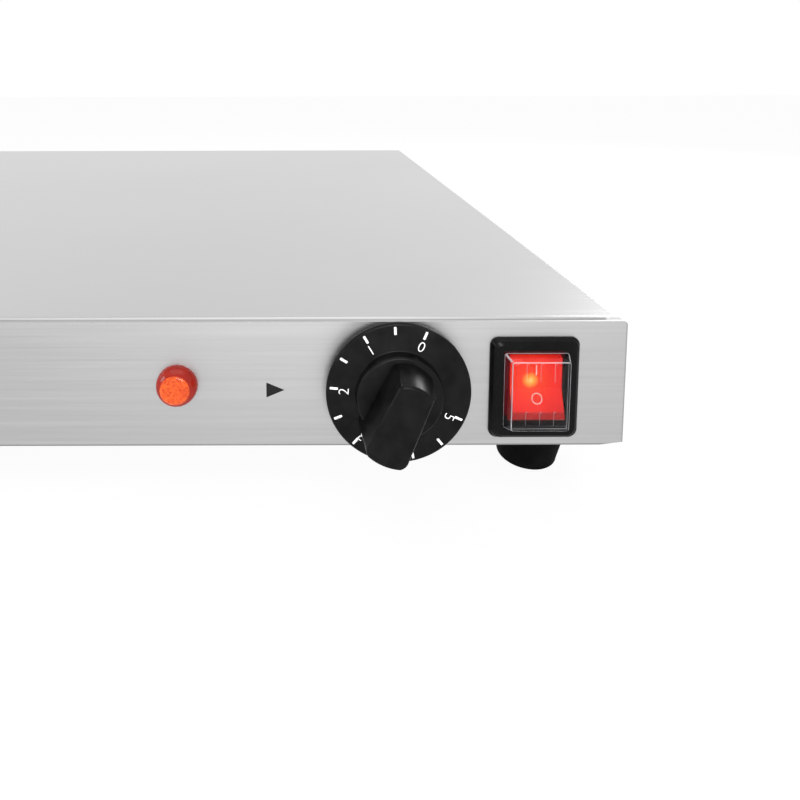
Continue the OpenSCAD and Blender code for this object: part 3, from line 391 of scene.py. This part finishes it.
def mineralWool():
    f = Finish("mineralWool", roughness=0.95)
    strand = f.noise(300, 5.0, 0.75, (0.25, 1, 0.6))
    cross = f.noise(300, 5.0, 0.75, (1, 0.25, 0.6))
    f.set(baseColor=f.tint(f.span(strand * 0.5 + cross * 0.5, 0.3, 0.7), (0.48, 0.42, 0.20),
                           (0.78, 0.72, 0.44)))
    f.bump(strand + cross, 0.0006, 0.8)
    return f.material


def phenolicBrown():
    f = Finish("phenolicMoulding")
    fleck = f.noise(420, 4.0, 0.7)
    f.set(baseColor=f.tint(f.span(fleck, 0.35, 0.7), (0.055, 0.032, 0.02), (0.16, 0.095, 0.06)))
    f.set(roughness=0.36 + fleck * 0.2)
    f.bump(fleck, 0.00003, 0.3)
    return f.material


def brassTab():
    f = Finish("tinnedBrass", metallic=1.0)
    haze = f.noise(220, 3.0, 0.6)
    f.set(baseColor=f.tint(f.span(haze, 0.3, 0.7), (0.62, 0.46, 0.18), (0.80, 0.64, 0.32)))
    f.set(roughness=0.26 + haze * 0.2)
    f.bump(haze, 0.00002, 0.3)
    return f.material


def drawnCopper():
    f = Finish("drawnCopper", metallic=1.0)
    haze = f.noise(180, 4.0, 0.65)
    f.set(baseColor=f.tint(f.span(haze, 0.3, 0.7), (0.52, 0.26, 0.15), (0.78, 0.46, 0.31)))
    f.set(roughness=0.28 + haze * 0.22)
    f.bump(haze, 0.00002, 0.3)
    return f.material


def footRubber():
    f = Finish("footRubber", specularIorLevel=0.02)
    grit = f.noise(1600, 3.0, 0.6)
    dust = f.noise(90, 4.0, 0.6)
    f.set(baseColor=f.tint(f.span(dust, 0.45, 0.8), (0.0022, 0.0022, 0.0022), (0.0060, 0.0058, 0.0056)))
    f.set(roughness=0.55 + dust * 0.25)
    f.bump(grit, 0.00006, 0.5)
    return f.material


def blackMoulding(name, tone, polish, grit, shine):
    f = Finish(name, specularIorLevel=shine)
    fine = f.noise(2600, 2.0, 0.6)
    wear = f.noise(140, 4.0, 0.6)
    f.set(baseColor=f.tint(f.span(wear, 0.35, 0.80), tuple(t * 0.7 for t in tone),
                           tuple(t * 2.6 for t in tone)))
    f.set(roughness=polish + (wear - 0.5) * 0.14 + (fine - 0.5) * 0.08)
    f.bump(fine, grit, 0.5)
    return f.material


def litRocker():
    glow = {"lamp": (290.5, 39.3), "reach": 14.0, "left": 283.55, "low": 28.6,  # mm in the frame
            "softLeft": 0.4, "softLow": 0.8}
    f = Finish("litRedRocker", roughness=0.25, specularIorLevel=0.1, emissionStrength=1.0)
    dx = (f.along(0) - glow["lamp"][0] * mm) / (glow["reach"] * mm)
    dz = (f.along(2) - glow["lamp"][1] * mm) / (glow["reach"] * mm)
    ripple = f.noise(420, 3.0, 0.6, (1, 1, 0.35))
    near = (dx * dx + dz * dz) ** 0.5 + (ripple - 0.5) * 0.08
    face = (f.span(f.along(0), glow["left"] * mm, (glow["left"] + glow["softLeft"]) * mm)
            * f.span(f.along(2), glow["low"] * mm, (glow["low"] + glow["softLow"]) * mm))
    f.set(baseColor=f.tint(f.span(ripple, 0.3, 0.7), (0.22, 0.005, 0.004), (0.28, 0.008, 0.006)))
    stops = [(0.0, (0.90, 0.72, 0.20)), (0.10, (0.80, 0.36, 0.05)), (0.22, (0.72, 0.045, 0.010)),
             (0.62, (0.64, 0.016, 0.008)), (1.0, (0.42, 0.006, 0.006))]
    lit = f.node("ValToRGB", {"stops": stops}, {0: near})
    f.set(emissionColor=f.tint(face, (0.07, 0.002, 0.002), lit))
    f.bump(ripple, 0.00003, 0.3)
    return f.material


def switchMoulding():  # black, with the lamp's red light on the walls round the rocker
    window = {"x": (281.0, 302.6), "z": (25.6, 50.2), "soft": 1.2}  # mm in the frame
    f = Finish("switchMoulding", specularIorLevel=0.10, emissionStrength=1.0)
    wear = f.noise(140, 4.0, 0.6)
    inside = 1.0
    for axis, key in ((0, "x"), (2, "z")):
        low, high = (edge * mm for edge in window[key])
        inside = (f.span(f.along(axis), low, low + window["soft"] * mm)
                  * f.span(f.along(axis), high - window["soft"] * mm, high, 1.0, 0.0) * inside)
    f.set(baseColor=f.tint(f.span(wear, 0.35, 0.75), (0.002, 0.002, 0.002), (0.004, 0.004, 0.004)))
    f.set(emissionColor=f.tint(inside, (0.0, 0.0, 0.0), (0.09, 0.003, 0.006)))
    f.set(roughness=0.16 + wear * 0.10)
    f.bump(f.noise(2600, 2.0, 0.6), 0.00001, 0.5)
    return f.material


def clearMoulding():
    f = Finish("clearSplashCover", transmissionWeight=1.0, ior=1.2, specularIorLevel=0.3)
    smear = f.noise(120, 4.0, 0.6)
    f.set(baseColor=f.tint(f.span(smear, 0.3, 0.8), (0.97, 0.97, 0.98), (0.90, 0.91, 0.94)))
    f.set(roughness=0.02 + smear * 0.05)
    f.bump(smear, 0.00002, 0.3)
    return f.material


def coverEdgeHighlight():  # moulded edges and ribs of the cover, given a whitish half-opaque colour: a painted highlight for the bright lines of light along them
    f = Finish("clearCoverPaintedHighlight", transmissionWeight=0.1, ior=1.45, alpha=0.38)
    smear = f.noise(300, 3.0, 0.6)
    f.set(baseColor=f.tint(smear, (0.78, 0.76, 0.82), (0.95, 0.94, 0.98)))
    f.set(roughness=0.18 + smear * 0.12)
    f.bump(smear, 0.00002, 0.3)
    return f.material


def amberGlass():
    f = Finish("amberLens", roughness=0.14, specularIorLevel=0.4, emissionStrength=1.0)
    facet = f.node("SeparateColor", {}, {0: f.cells(1150, "Color")}, 0)
    grain = f.noise(1300, 3.0, 0.7)
    mask = f.span(facet * 0.35 + grain * 0.65, 0.28, 0.75)
    f.set(baseColor=f.tint(mask, (0.34, 0.024, 0.002), (0.50, 0.075, 0.006)))
    f.set(emissionColor=f.tint(mask, (0.16, 0.012, 0.001), (0.30, 0.040, 0.003)))
    f.bump(f.cells(1150, "Distance"), 0.0002, 0.4)
    return f.material


# the side of the amber dome: a darker, redder, dimmer-glowing copy of the lens colour, painted shade where
# the lamp's glow through the dome falls off toward its edge
def shadedLensRim():
    f = Finish("amberLensEdgeShade", roughness=0.12, specularIorLevel=0.25, emissionStrength=1.0)
    grain = f.noise(500, 3.0, 0.6)
    f.set(baseColor=f.tint(grain, (0.13, 0.005, 0.003), (0.22, 0.010, 0.004)))
    f.set(emissionColor=f.tint(grain, (0.08, 0.003, 0.001), (0.17, 0.008, 0.002)))
    f.bump(grain, 0.00003, 0.3)
    return f.material


def glowTube():
    f = Finish("glowLampGlass", roughness=0.1, emissionStrength=2.0)
    haze = f.noise(400, 2.0, 0.5)
    f.set(baseColor=f.tint(haze, (0.9, 0.5, 0.15), (1.0, 0.7, 0.3)))
    f.set(emissionColor=f.tint(haze, (1.0, 0.45, 0.08), (1.0, 0.7, 0.2)))
    return f.material


def printInk(name, dark, light, polish):
    f = Finish(name, specularIorLevel=0.15)
    mottle = f.noise(1800, 3.0, 0.6)
    f.set(baseColor=f.tint(f.span(mottle, 0.3, 0.7), dark, light))
    f.set(roughness=polish + mottle * 0.12)
    f.bump(mottle, 0.00001, 0.3)
    return f.material


finishes = {
    "top_steel": satinTop(),
    "brushed_steel": brushedPanel(),
    "galvanised_steel": spangled(),
    "rubber": footRubber(),
    "zinc": zincPlate(),
    "aluminium": millAluminium(),
    "heater_steel": oxidisedTube(),
    "ceramic": firedCeramic(),
    "wool": mineralWool(),
    "phenolic": phenolicBrown(),
    "brass": brassTab(),
    "copper": drawnCopper(),
    "black_plastic": blackMoulding("glossBlackMoulding", (0.006, 0.006, 0.0065), 0.20, 0.00001, 0.3),
    "red_rocker": litRocker(),
    "lamp_glass": glowTube(),
    "clear_cover": clearMoulding(),
    "amber_lens": amberGlass(),
}
knobFinish = blackMoulding("knobMoulding", (0.0030, 0.0030, 0.0030), 0.34, 0.00002, 0.10)
coverHighlightFinish = coverEdgeHighlight()
rimShadeFinish = shadedLensRim()
whiteInk = printInk("whitePrint", (0.78, 0.78, 0.77), (0.90, 0.90, 0.89), 0.45)
pinkInk = printInk("pinkPrint", (0.66, 0.34, 0.30), (0.80, 0.50, 0.45), 0.45)
blackInk = printInk("blackPrint", (0.006, 0.006, 0.006), (0.012, 0.012, 0.012), 0.45)
slotOf = {part["node"]: part["material_slot"] for part in frame["record"]["subparts"]}
for name, node in nodes.items():
    node.data.materials.clear()
    node.data.materials.append(finishes[slotOf[name]])
nodes["switch_housing"].data.materials[0] = switchMoulding()
print("finishes made:", len(finishes), "for the nodes")


# ---------- control knob ----------

# mm, heights off the fascia
knobPlan = {"x": 244.0, "z": 36.7, "turn": 24, "gap": 0.8, "shroudR": 19.8, "shroudWall": 1.8, "skirtR": 25.0,
            "skirtBack": 4.7, "skirtZ": 6.7, "hubR": 15.0, "hubTopR": 14.7, "hubZ": 10.5, "hubWall": 3.0,
            "hubRoof": 2.0, "headFootR": 13.7, "headTopR": 10.65, "tailR": 17.6, "gripFoot": 5.7,
            "gripZ": 22.0, "half": 6.35, "widen": 0.1308, "lean": 3.22, "rim": 0.8, "soft": 0.8,
            "tailCorner": 3.2, "headCorner": 1.3, "headDraft": 10.6, "cornerCuts": 5, "bossR": 6.5,
            "bossBack": 1.4, "ribBack": 3.2, "ribT": 1.2, "shaftR": 3.05, "shaftFlat": 1.65, "shaftEnd": 17.0,
            "around": 128, "ribs": 6, "ribFirst": 30, "ribSink": 0.4, "ribInBoss": 1.0}


def makeKnobBody(p):
    knob = lathe("knobBody", [(r * mm, z * mm) for r, z in (
        (p["shroudR"], p["gap"]), (p["shroudR"], p["skirtBack"]), (p["skirtR"], p["skirtBack"]),
        (p["skirtR"], p["skirtZ"]), (p["hubR"], p["skirtZ"]), (p["hubTopR"], p["hubZ"]))], p["around"])
    bevelEdges(knob, ringEdges(p["skirtR"] * mm, p["skirtZ"] * mm), p["rim"] * mm, 5)
    bevelEdges(knob, ringEdges(p["skirtR"] * mm, p["skirtBack"] * mm), p["rim"] / 2 * mm, 2)
    bevelEdges(knob, ringEdges(p["hubTopR"] * mm, p["hubZ"] * mm), p["rim"] * mm, 4)
    bevelEdges(knob, ringEdges(p["hubR"] * mm, p["skirtZ"] * mm), p["rim"] / 2 * mm, 3)
    return knob


def cutGrip(grip, p, out, at, lean):  # one flat cut that leans back as it rises
    openFaces(grip, lambda c, n: True)
    bpy.ops.mesh.bisect(plane_co=(at.x * mm, at.y * mm, p["gripZ"] * mm), use_fill=True, clear_outer=True,
                        plane_no=(out.x * math.cos(lean), out.y * math.cos(lean), math.sin(lean)))
    close()


def makeGrip(p):  # a round bar whose head half is drawn in to a cone, with both sides cut away
    tall = p["gripZ"] - p["gripFoot"]
    grip = begin("grip", "cylinder", vertices=96, radius=p["tailR"] * mm, depth=tall * mm,
                 location=(0, 0, (p["gripFoot"] + tall / 2) * mm))
    place(grip, Matrix.Identity(4))
    for height, radius in ((p["gripFoot"], p["headFootR"]), (p["gripZ"], p["headTopR"])):
        openEdges(grip, lambda a, b: min(a.y, b.y) > 1e-6
                  and max(abs(a.z - height * mm), abs(b.z - height * mm)) < 1e-6)
        share = radius / p["tailR"]
        bpy.ops.transform.resize(value=(share, share, 1), center_override=(0, 0, height * mm))
        close()
    for side in (-1, 1):
        # outward on this side
        across = Matrix.Rotation(math.radians(side * p["lean"]), 2) @ Vector((side, 0))
        cutGrip(grip, p, across, across * p["half"], math.atan(p["widen"]))
        for end, radius, corner, draft in ((-1, p["tailR"], p["tailCorner"], 0.0),
                                           (1, p["headTopR"], p["headCorner"], p["headDraft"])):
            along = Vector((-across.y, across.x)) * side * end
            deep = math.sqrt((radius - corner) ** 2 - (p["half"] - corner) ** 2)
            middle = across * (p["half"] - corner) + along * deep
            swing = math.atan2(deep, p["half"] - corner)
            for step in range(1, p["cornerCuts"] + 1):
                share = step / (p["cornerCuts"] + 1)
                out = across * math.cos(swing * share) + along * math.sin(swing * share)
                lean = math.atan(p["widen"]) * (1 - share) + math.radians(draft) * share
                cutGrip(grip, p, out, middle + out * corner, lean)
    cleanUp(grip, 0.02 * mm)
    bevelEdges(grip, lambda a, b: min(a.z, b.z) > (p["gripZ"] - 0.01) * mm, p["soft"] * mm, 5)
    return grip


def hollowOut(knob, radius, low, high):
    merge(knob, begin("hollow", "cylinder", vertices=96, radius=radius * mm, depth=(high - low) * mm,
                      location=(0, 0, (low + high) / 2 * mm)), "DIFFERENCE")


def makeKnob(p):
    knob = makeKnobBody(p)
    merge(knob, makeGrip(p))
    hollowOut(knob, p["shroudR"] - p["shroudWall"], -1.0, p["skirtBack"])
    hollowOut(knob, p["hubR"] - p["hubWall"], 0.0, p["hubZ"] - p["hubRoof"])
    bossTop = p["hubZ"] - p["hubRoof"] / 2
    merge(knob, begin("boss", "cylinder", vertices=64, radius=p["bossR"] * mm,
                      depth=(bossTop - p["bossBack"]) * mm,
                      location=(0, 0, (bossTop + p["bossBack"]) / 2 * mm)))
    inner, outer = p["bossR"] - p["ribInBoss"], p["shroudR"] - p["shroudWall"] / 2
    ribTop = p["skirtBack"] + p["ribSink"]
    for i in range(p["ribs"]):
        rib = begin("rib", "cube", size=1,
                    location=((inner + outer) / 2 * mm, 0, (ribTop + p["ribBack"]) / 2 * mm),
                    scale=((outer - inner) * mm, p["ribT"] * mm, (ribTop - p["ribBack"]) * mm))
        place(rib, Matrix.Rotation(math.radians(p["ribFirst"] + 360 / p["ribs"] * i), 4, "Z"))
        merge(knob, rib)
    shaft = begin("shaftHole", "cylinder", vertices=48, radius=p["shaftR"] * mm, depth=p["shaftEnd"] * mm,
                  location=(0, 0, p["shaftEnd"] / 2 * mm))
    place(shaft, Matrix.Identity(4))
    openFaces(shaft, lambda c, n: True)
    bpy.ops.mesh.bisect(plane_co=(p["shaftFlat"] * mm, 0, 0), plane_no=(1, 0, 0), use_fill=True,
                        clear_outer=True)
    close()
    merge(knob, shaft, "DIFFERENCE")
    place(knob, onPanel(p["x"] * mm, p["z"] * mm) @ Matrix.Rotation(math.radians(-p["turn"]), 4, "Z"))
    return finished(knob, "dial", knobFinish, ("control_knob",), 32)


makeKnob(knobPlan)


# ---------- printed dial figures and ticks ----------

dialPlan = {"zero": 23.3, "step": 54, "tickFrom": 21.0, "tickTo": 23.8, "tickW": 0.82, "figureR": 18.8,
            "figureDrop": 0.8, "figureSize": 5.2, "thin": 0.07, "lift": 0.02, "thick": 0.05,
            "last": 5, "soft": 0.15}


def makeDialMarks(p, knob):
    marks = []
    for half in range(2 * p["last"] + 1):
        clockwise = p["zero"] - p["step"] * half / 2
        turn = Matrix.Rotation(math.radians(-clockwise), 4, "Z")
        tick = begin("tick", "cube", size=1, scale=(p["tickW"] * mm, (p["tickTo"] - p["tickFrom"]) * mm,
                                                    p["thick"] * mm))
        place(tick, Matrix.Identity(4))
        bevelEdges(tick, lambda a, b: abs(a.z - b.z) > 1e-6, p["soft"] * mm, 2)
        place(tick, turn @ Matrix.Translation((0, (p["tickFrom"] + p["tickTo"]) / 2 * mm, 0)))
        marks.append(tick)
        if half % 2 == 0:
            clearPick()
            bpy.ops.object.text_add()
            figure = bpy.context.object
            figure.data.body = str(half // 2)
            figure.data.align_x, figure.data.align_y = "CENTER", "CENTER"
            figure.data.size = p["figureSize"] * mm
            figure.data.extrude = p["thick"] / 2 * mm
            figure.data.offset = -p["thin"] * mm
            figure.data.resolution_u = 6
            bpy.ops.object.convert(target="MESH")
            figure = bpy.context.object
            place(figure, Matrix.Translation((0, -p["figureDrop"] * mm, 0)) @ turn
                  @ Matrix.Translation((0, p["figureR"] * mm, 0)))
            marks.append(figure)
    made = joinAll("dialMarks", marks)
    cleanUp(made, 1e-7)
    place(made, onPanel(knob["x"] * mm, knob["z"] * mm)
          @ Matrix.Translation((0, 0, (knob["skirtZ"] + p["lift"]) * mm)))
    return finished(made, "dial", whiteInk)


makeDialMarks(dialPlan, knobPlan)


# ---------- printed pointer on the fascia ----------

pointerPlan = {"left": 198.1, "right": 204.5, "z": 34.65, "high": 5.5, "thick": 0.04, "soft": 0.12}


def makePointer(p):
    mark = begin("pointerMark", "cylinder", vertices=3, radius=1, depth=1, rotation=(0, 0, math.radians(-90)))
    place(mark, Matrix.Identity(4))
    wide, tall = 1.5, math.sqrt(3)
    place(mark, Matrix.Diagonal(((p["right"] - p["left"]) * mm / wide, p["high"] * mm / tall,
                                 p["thick"] * mm, 1)))
    low = min(v.co.x for v in mark.data.vertices)
    place(mark, onPanel(p["left"] * mm, p["z"] * mm) @ Matrix.Translation((-low, 0, p["thick"] / 2 * mm)))
    bevelEdges(mark, lambda a, b: abs(a.y - b.y) > 1e-6, p["soft"] * mm, 2)
    return finished(mark, "cabinet", blackInk)


makePointer(pointerPlan)


# ---------- marks on the rocker ----------

rockerPlan = {"x": 292.5, "z": 35.7, "axis": -2.6, "face": 4.9, "tilt": 10, "ringR": 1.75, "ringW": 0.16,
              "ringY": -3.5, "barY": 6.2, "barW": 0.42, "barL": 3.4, "ringFlat": 0.25, "barT": 0.08,
              "barSoft": 0.15}


def makeRockerMarks(p):
    def onFace(y):
        lean = math.radians(p["tilt"] if y > 0 else -p["tilt"])
        out = p["face"] + abs(y) * math.tan(math.radians(p["tilt"]))
        return (onPanel(p["x"] * mm, p["z"] * mm) @ Matrix.Translation((0, 0, p["axis"] * mm))
                @ Matrix.Rotation(math.radians(-p["tilt"]), 4, "X")
                @ Matrix.Translation((0, y * mm, out * mm)) @ Matrix.Rotation(lean, 4, "X"))
    ring = begin("ring", "torus", major_radius=p["ringR"] * mm, minor_radius=p["ringW"] * mm,
                 major_segments=48, minor_segments=12)
    place(ring, Matrix.Diagonal((1, 1, p["ringFlat"], 1)))
    place(ring, onFace(p["ringY"]))
    bar = begin("bar", "cube", size=1, scale=(p["barW"] * mm, p["barL"] * mm, p["barT"] * mm))
    place(bar, Matrix.Identity(4))
    bevelEdges(bar, lambda a, b: abs(a.z - b.z) > 1e-6, p["barSoft"] * mm, 3)
    place(bar, onFace(p["barY"]))
    made = joinAll("rockerMarks", [ring, bar])
    return finished(made, "rocker", pinkInk)


makeRockerMarks(rockerPlan)


# ---------- clear splash cover ----------

coverPlan = {"x": 292.5, "z": 35.7, "w": 22.6, "h": 27.2, "from": 1.6, "seat": 2.8, "to": 7.6,
             "draft": 1.36, "wall": 0.8, "edge": 0.9, "foot": 0.3, "ribW": 0.95, "ribH": 0.3,
             "topRib": 6.4, "topGap": 0.3, "lowRib": 5.2, "lowGap": 2.0, "ribSoft": 0.12,
             "ribXs": (-4.8, 0.0, 4.8)}


def makeCover(p):
    shell = begin("splashCover", "cube", size=1, location=(0, 0, (p["from"] + p["seat"]) / 2 * mm),
                  scale=(p["w"] * mm, p["h"] * mm, (p["seat"] - p["from"]) * mm))
    place(shell, Matrix.Identity(4))
    openFaces(shell, lambda c, n: n.z > 0.9)
    bpy.ops.mesh.extrude_region_move(TRANSFORM_OT_translate={"value": (0, 0, (p["to"] - p["seat"]) * mm)})
    bpy.ops.transform.resize(value=(1 - 2 * p["draft"] / p["w"], 1 - 2 * p["draft"] / p["h"], 1),
                             center_override=(0, 0, p["to"] * mm))
    close()
    bevelEdges(shell, lambda a, b: min(a.z, b.z) > (p["to"] - 0.1) * mm or
               (abs(a.z - b.z) > 1e-4 and max(a.z, b.z) > (p["seat"] + 0.1) * mm), p["edge"] * mm, 4)
    openFaces(shell, lambda c, n: n.z < -0.9)
    bpy.ops.mesh.delete(type="FACE")
    close()
    cleanUp(shell)
    openFaces(shell, lambda c, n: True)
    bpy.ops.mesh.bisect(plane_co=(0, 0, (p["seat"] + p["foot"]) * mm), plane_no=(0, 0, 1))
    close()
    modify(shell, "SOLIDIFY", thickness=p["wall"] * mm, offset=-1, use_even_offset=True,
           use_quality_normals=True)
    top = p["h"] / 2 - p["draft"]
    for x in p["ribXs"]:
        for high, low in ((top - p["topGap"], top - p["topGap"] - p["topRib"]),
                          (-top + p["lowGap"] + p["lowRib"], -top + p["lowGap"])):
            rib = begin("rib", "cube", size=1, scale=(p["ribW"] * mm, (high - low) * mm, 2 * p["ribH"] * mm))
            place(rib, Matrix.Identity(4))
            bevelEdges(rib, lambda a, b: abs(a.z - b.z) > 1e-6, p["ribW"] * 0.48 * mm, 5)
            bevelEdges(rib, lambda a, b: min(a.z, b.z) > 0.9 * p["ribH"] * mm, p["ribSoft"] * mm, 2)
            place(rib, Matrix.Translation((x * mm, (high + low) / 2 * mm, p["to"] * mm)))
            merge(shell, rib)
    spot = onPanel(p["x"] * mm, p["z"] * mm)
    place(shell, spot)
    finished(shell, "cabinet", finishes["clear_cover"], ("switch_cover",), 30)
    front, seat = p["to"] * mm, p["seat"] * mm
    # painted highlight: the cover's edge bevels, foot band and rib sides take the whitish finish
    secondFinish(shell, coverHighlightFinish, spot, lambda c, n: (c.z > front + 2e-5 and n.z < 0.7)
                 or seat < c.z < seat + p["foot"] * mm
                 or (c.z > front - 0.95 * p["edge"] * mm and 0.6 < n.z < 0.8)
                 or (c.z > seat and min(abs(n.x), abs(n.y)) > 0.5 and n.z > 0))
    return shell


makeCover(coverPlan)


# ---------- indicator lens ----------

lensPlan = {"x": 166.6, "z": 36.7,
            "rings": ((7.3, 0.0), (7.3, 1.0), (7.15, 1.7), (6.9, 2.4), (6.5, 3.1), (5.9, 3.8), (5.2, 4.3),
                      (4.6, 4.6)),
            "faceR": 5.5, "top": 4.6, "hollowR": 4.35, "hollow": 3.6, "below": 0.05,
            "insets": 3, "inset": 1.2}


def makeLens(p):
    lens = lathe("lampLens", [(r * mm, z * mm) for r, z in p["rings"]], 64)
    openFaces(lens, lambda c, n: c.z > (p["top"] - 0.01) * mm and n.z > 0.9)
    for i in range(p["insets"]):
        bpy.ops.mesh.inset(thickness=p["inset"] * mm)
    bpy.ops.mesh.poke()
    close()
    hollow = begin("hollow", "cylinder", vertices=64, radius=p["hollowR"] * mm, depth=p["hollow"] * mm,
                   location=(0, 0, (p["hollow"] / 2 - p["below"]) * mm))
    merge(lens, hollow, "DIFFERENCE")
    spot = onPanel(p["x"] * mm, p["z"] * mm)
    place(lens, spot)
    finished(lens, "cabinet", finishes["amber_lens"], ("indicator_lens",), 25)
    # painted shade: the dome's side beyond the face radius takes the darker copy of the amber
    secondFinish(lens, rimShadeFinish, spot, lambda c, n: math.hypot(c.x, c.y) > p["faceR"] * mm)
    return lens


makeLens(lensPlan)


# ---------- floor, light and camera ----------

def seenDirectly(finish):  # 1 where the camera, a mirror or clear plastic looks at it
    rays = [finish.node("LightPath", {}, {}, kind)
            for kind in ("Is Camera Ray", "Is Glossy Ray", "Is Transmission Ray")]
    return (rays[0] + rays[1] + rays[2]).clip()


def makeFloor():
    look = {"paint": (0.86, 0.86, 0.86), "white": 0.93}
    floor = begin("floor", "plane", size=12, location=(0, 0, -0.0002))
    place(floor, Matrix.Identity(4))
    f = Finish("paleFloor", roughness=0.9, specularIorLevel=0.1)
    f.set(baseColor=f.tint(f.noise(3, 3.0, 0.5), look["paint"], tuple(c * 0.985 for c in look["paint"])))
    white = f.node("Emission", {}, {"Color": (1, 1, 1), "Strength": 1.0})
    both = f.node("MixShader", {}, {0: seenDirectly(f) * look["white"], 1: Wire(f, f.shader.outputs[0]),
                                    2: white})
    f.tree.links.new(both.socket, f.tree.nodes["Material Output"].inputs["Surface"])
    floor.data.materials.append(f.material)


def makeRoom():
    look = {"horizon": (0.80, 0.80, 0.80), "sky": (0.93, 0.93, 0.93), "strength": 0.8}
    world = bpy.data.worlds.new("paleRoom")
    bpy.context.scene.world = world
    world.use_nodes = True
    room = Finish.__new__(Finish)
    room.tree = world.node_tree
    room.tree.nodes.clear()
    height = room.node("SeparateXYZ", {}, {0: room.node("TexCoord", {}, {}, "Generated")}, 2)
    light = room.node("Background", {}, {0: room.tint(room.span(height, 0.0, 0.55), look["horizon"],
                                                      look["sky"]),
                                         1: look["strength"]})
    white = room.node("Background", {}, {0: (1, 1, 1), 1: 1.0})
    both = room.node("MixShader", {}, {0: seenDirectly(room), 1: light, 2: white})
    out = room.tree.nodes.new("ShaderNodeOutputWorld")
    room.tree.links.new(both.socket, out.inputs["Surface"])


lamps = {"overhead": {"at": (0.05, -0.35, 1.3), "aim": (0, -0.2, 0), "size": 1.4, "power": 7.0},
         "front": {"at": (0.27, -1.25, 0.30), "aim": (0.20, -0.26, 0.04), "size": 0.40, "power": 8.0},
         "backRight": {"at": (1.02, 0.42, 0.65), "aim": (0.25, -0.27, 0.05), "size": 0.35, "power": 9.0},
         "left": {"at": (-0.75, -0.55, 0.30), "aim": (0.25, -0.27, 0.05), "size": 0.35, "power": 2.5}}


def makeLamps():
    for name, plan in lamps.items():
        data = bpy.data.lights.new(name, "AREA")
        data.shape, data.size, data.energy = "SQUARE", plan["size"], plan["power"]
        lamp = bpy.data.objects.new(name, data)
        bpy.context.scene.collection.objects.link(lamp)
        lamp.location = plan["at"]
        lamp.rotation_euler = (Vector(plan["aim"]) - Vector(plan["at"])).to_track_quat("-Z", "Y").to_euler()


makeFloor()
makeRoom()
makeLamps()

cameraPlan = {"at": (0.21401, -0.46487, 0.14274), "down": 5.2, "roll": -0.14, "lens": 26.676,
              "shift": (0.1116, -0.3285), "sensor": 36, "near": 0.01, "far": 50}
lensData = bpy.data.cameras.new("photoCamera")
lensData.lens, lensData.sensor_width = cameraPlan["lens"], cameraPlan["sensor"]
lensData.shift_x, lensData.shift_y = cameraPlan["shift"]
lensData.clip_start, lensData.clip_end = cameraPlan["near"], cameraPlan["far"]
camera = bpy.data.objects.new("photoCamera", lensData)
bpy.context.scene.collection.objects.link(camera)
camera.matrix_world = (Matrix.Translation(cameraPlan["at"])
                       @ Matrix.Rotation(math.radians(90 - cameraPlan["down"]), 4, "X")
                       @ Matrix.Rotation(math.radians(cameraPlan["roll"]), 4, "Z"))
bpy.context.scene.camera = camera
bpy.context.scene.view_settings.view_transform = "Standard"
print("stage and camera set")
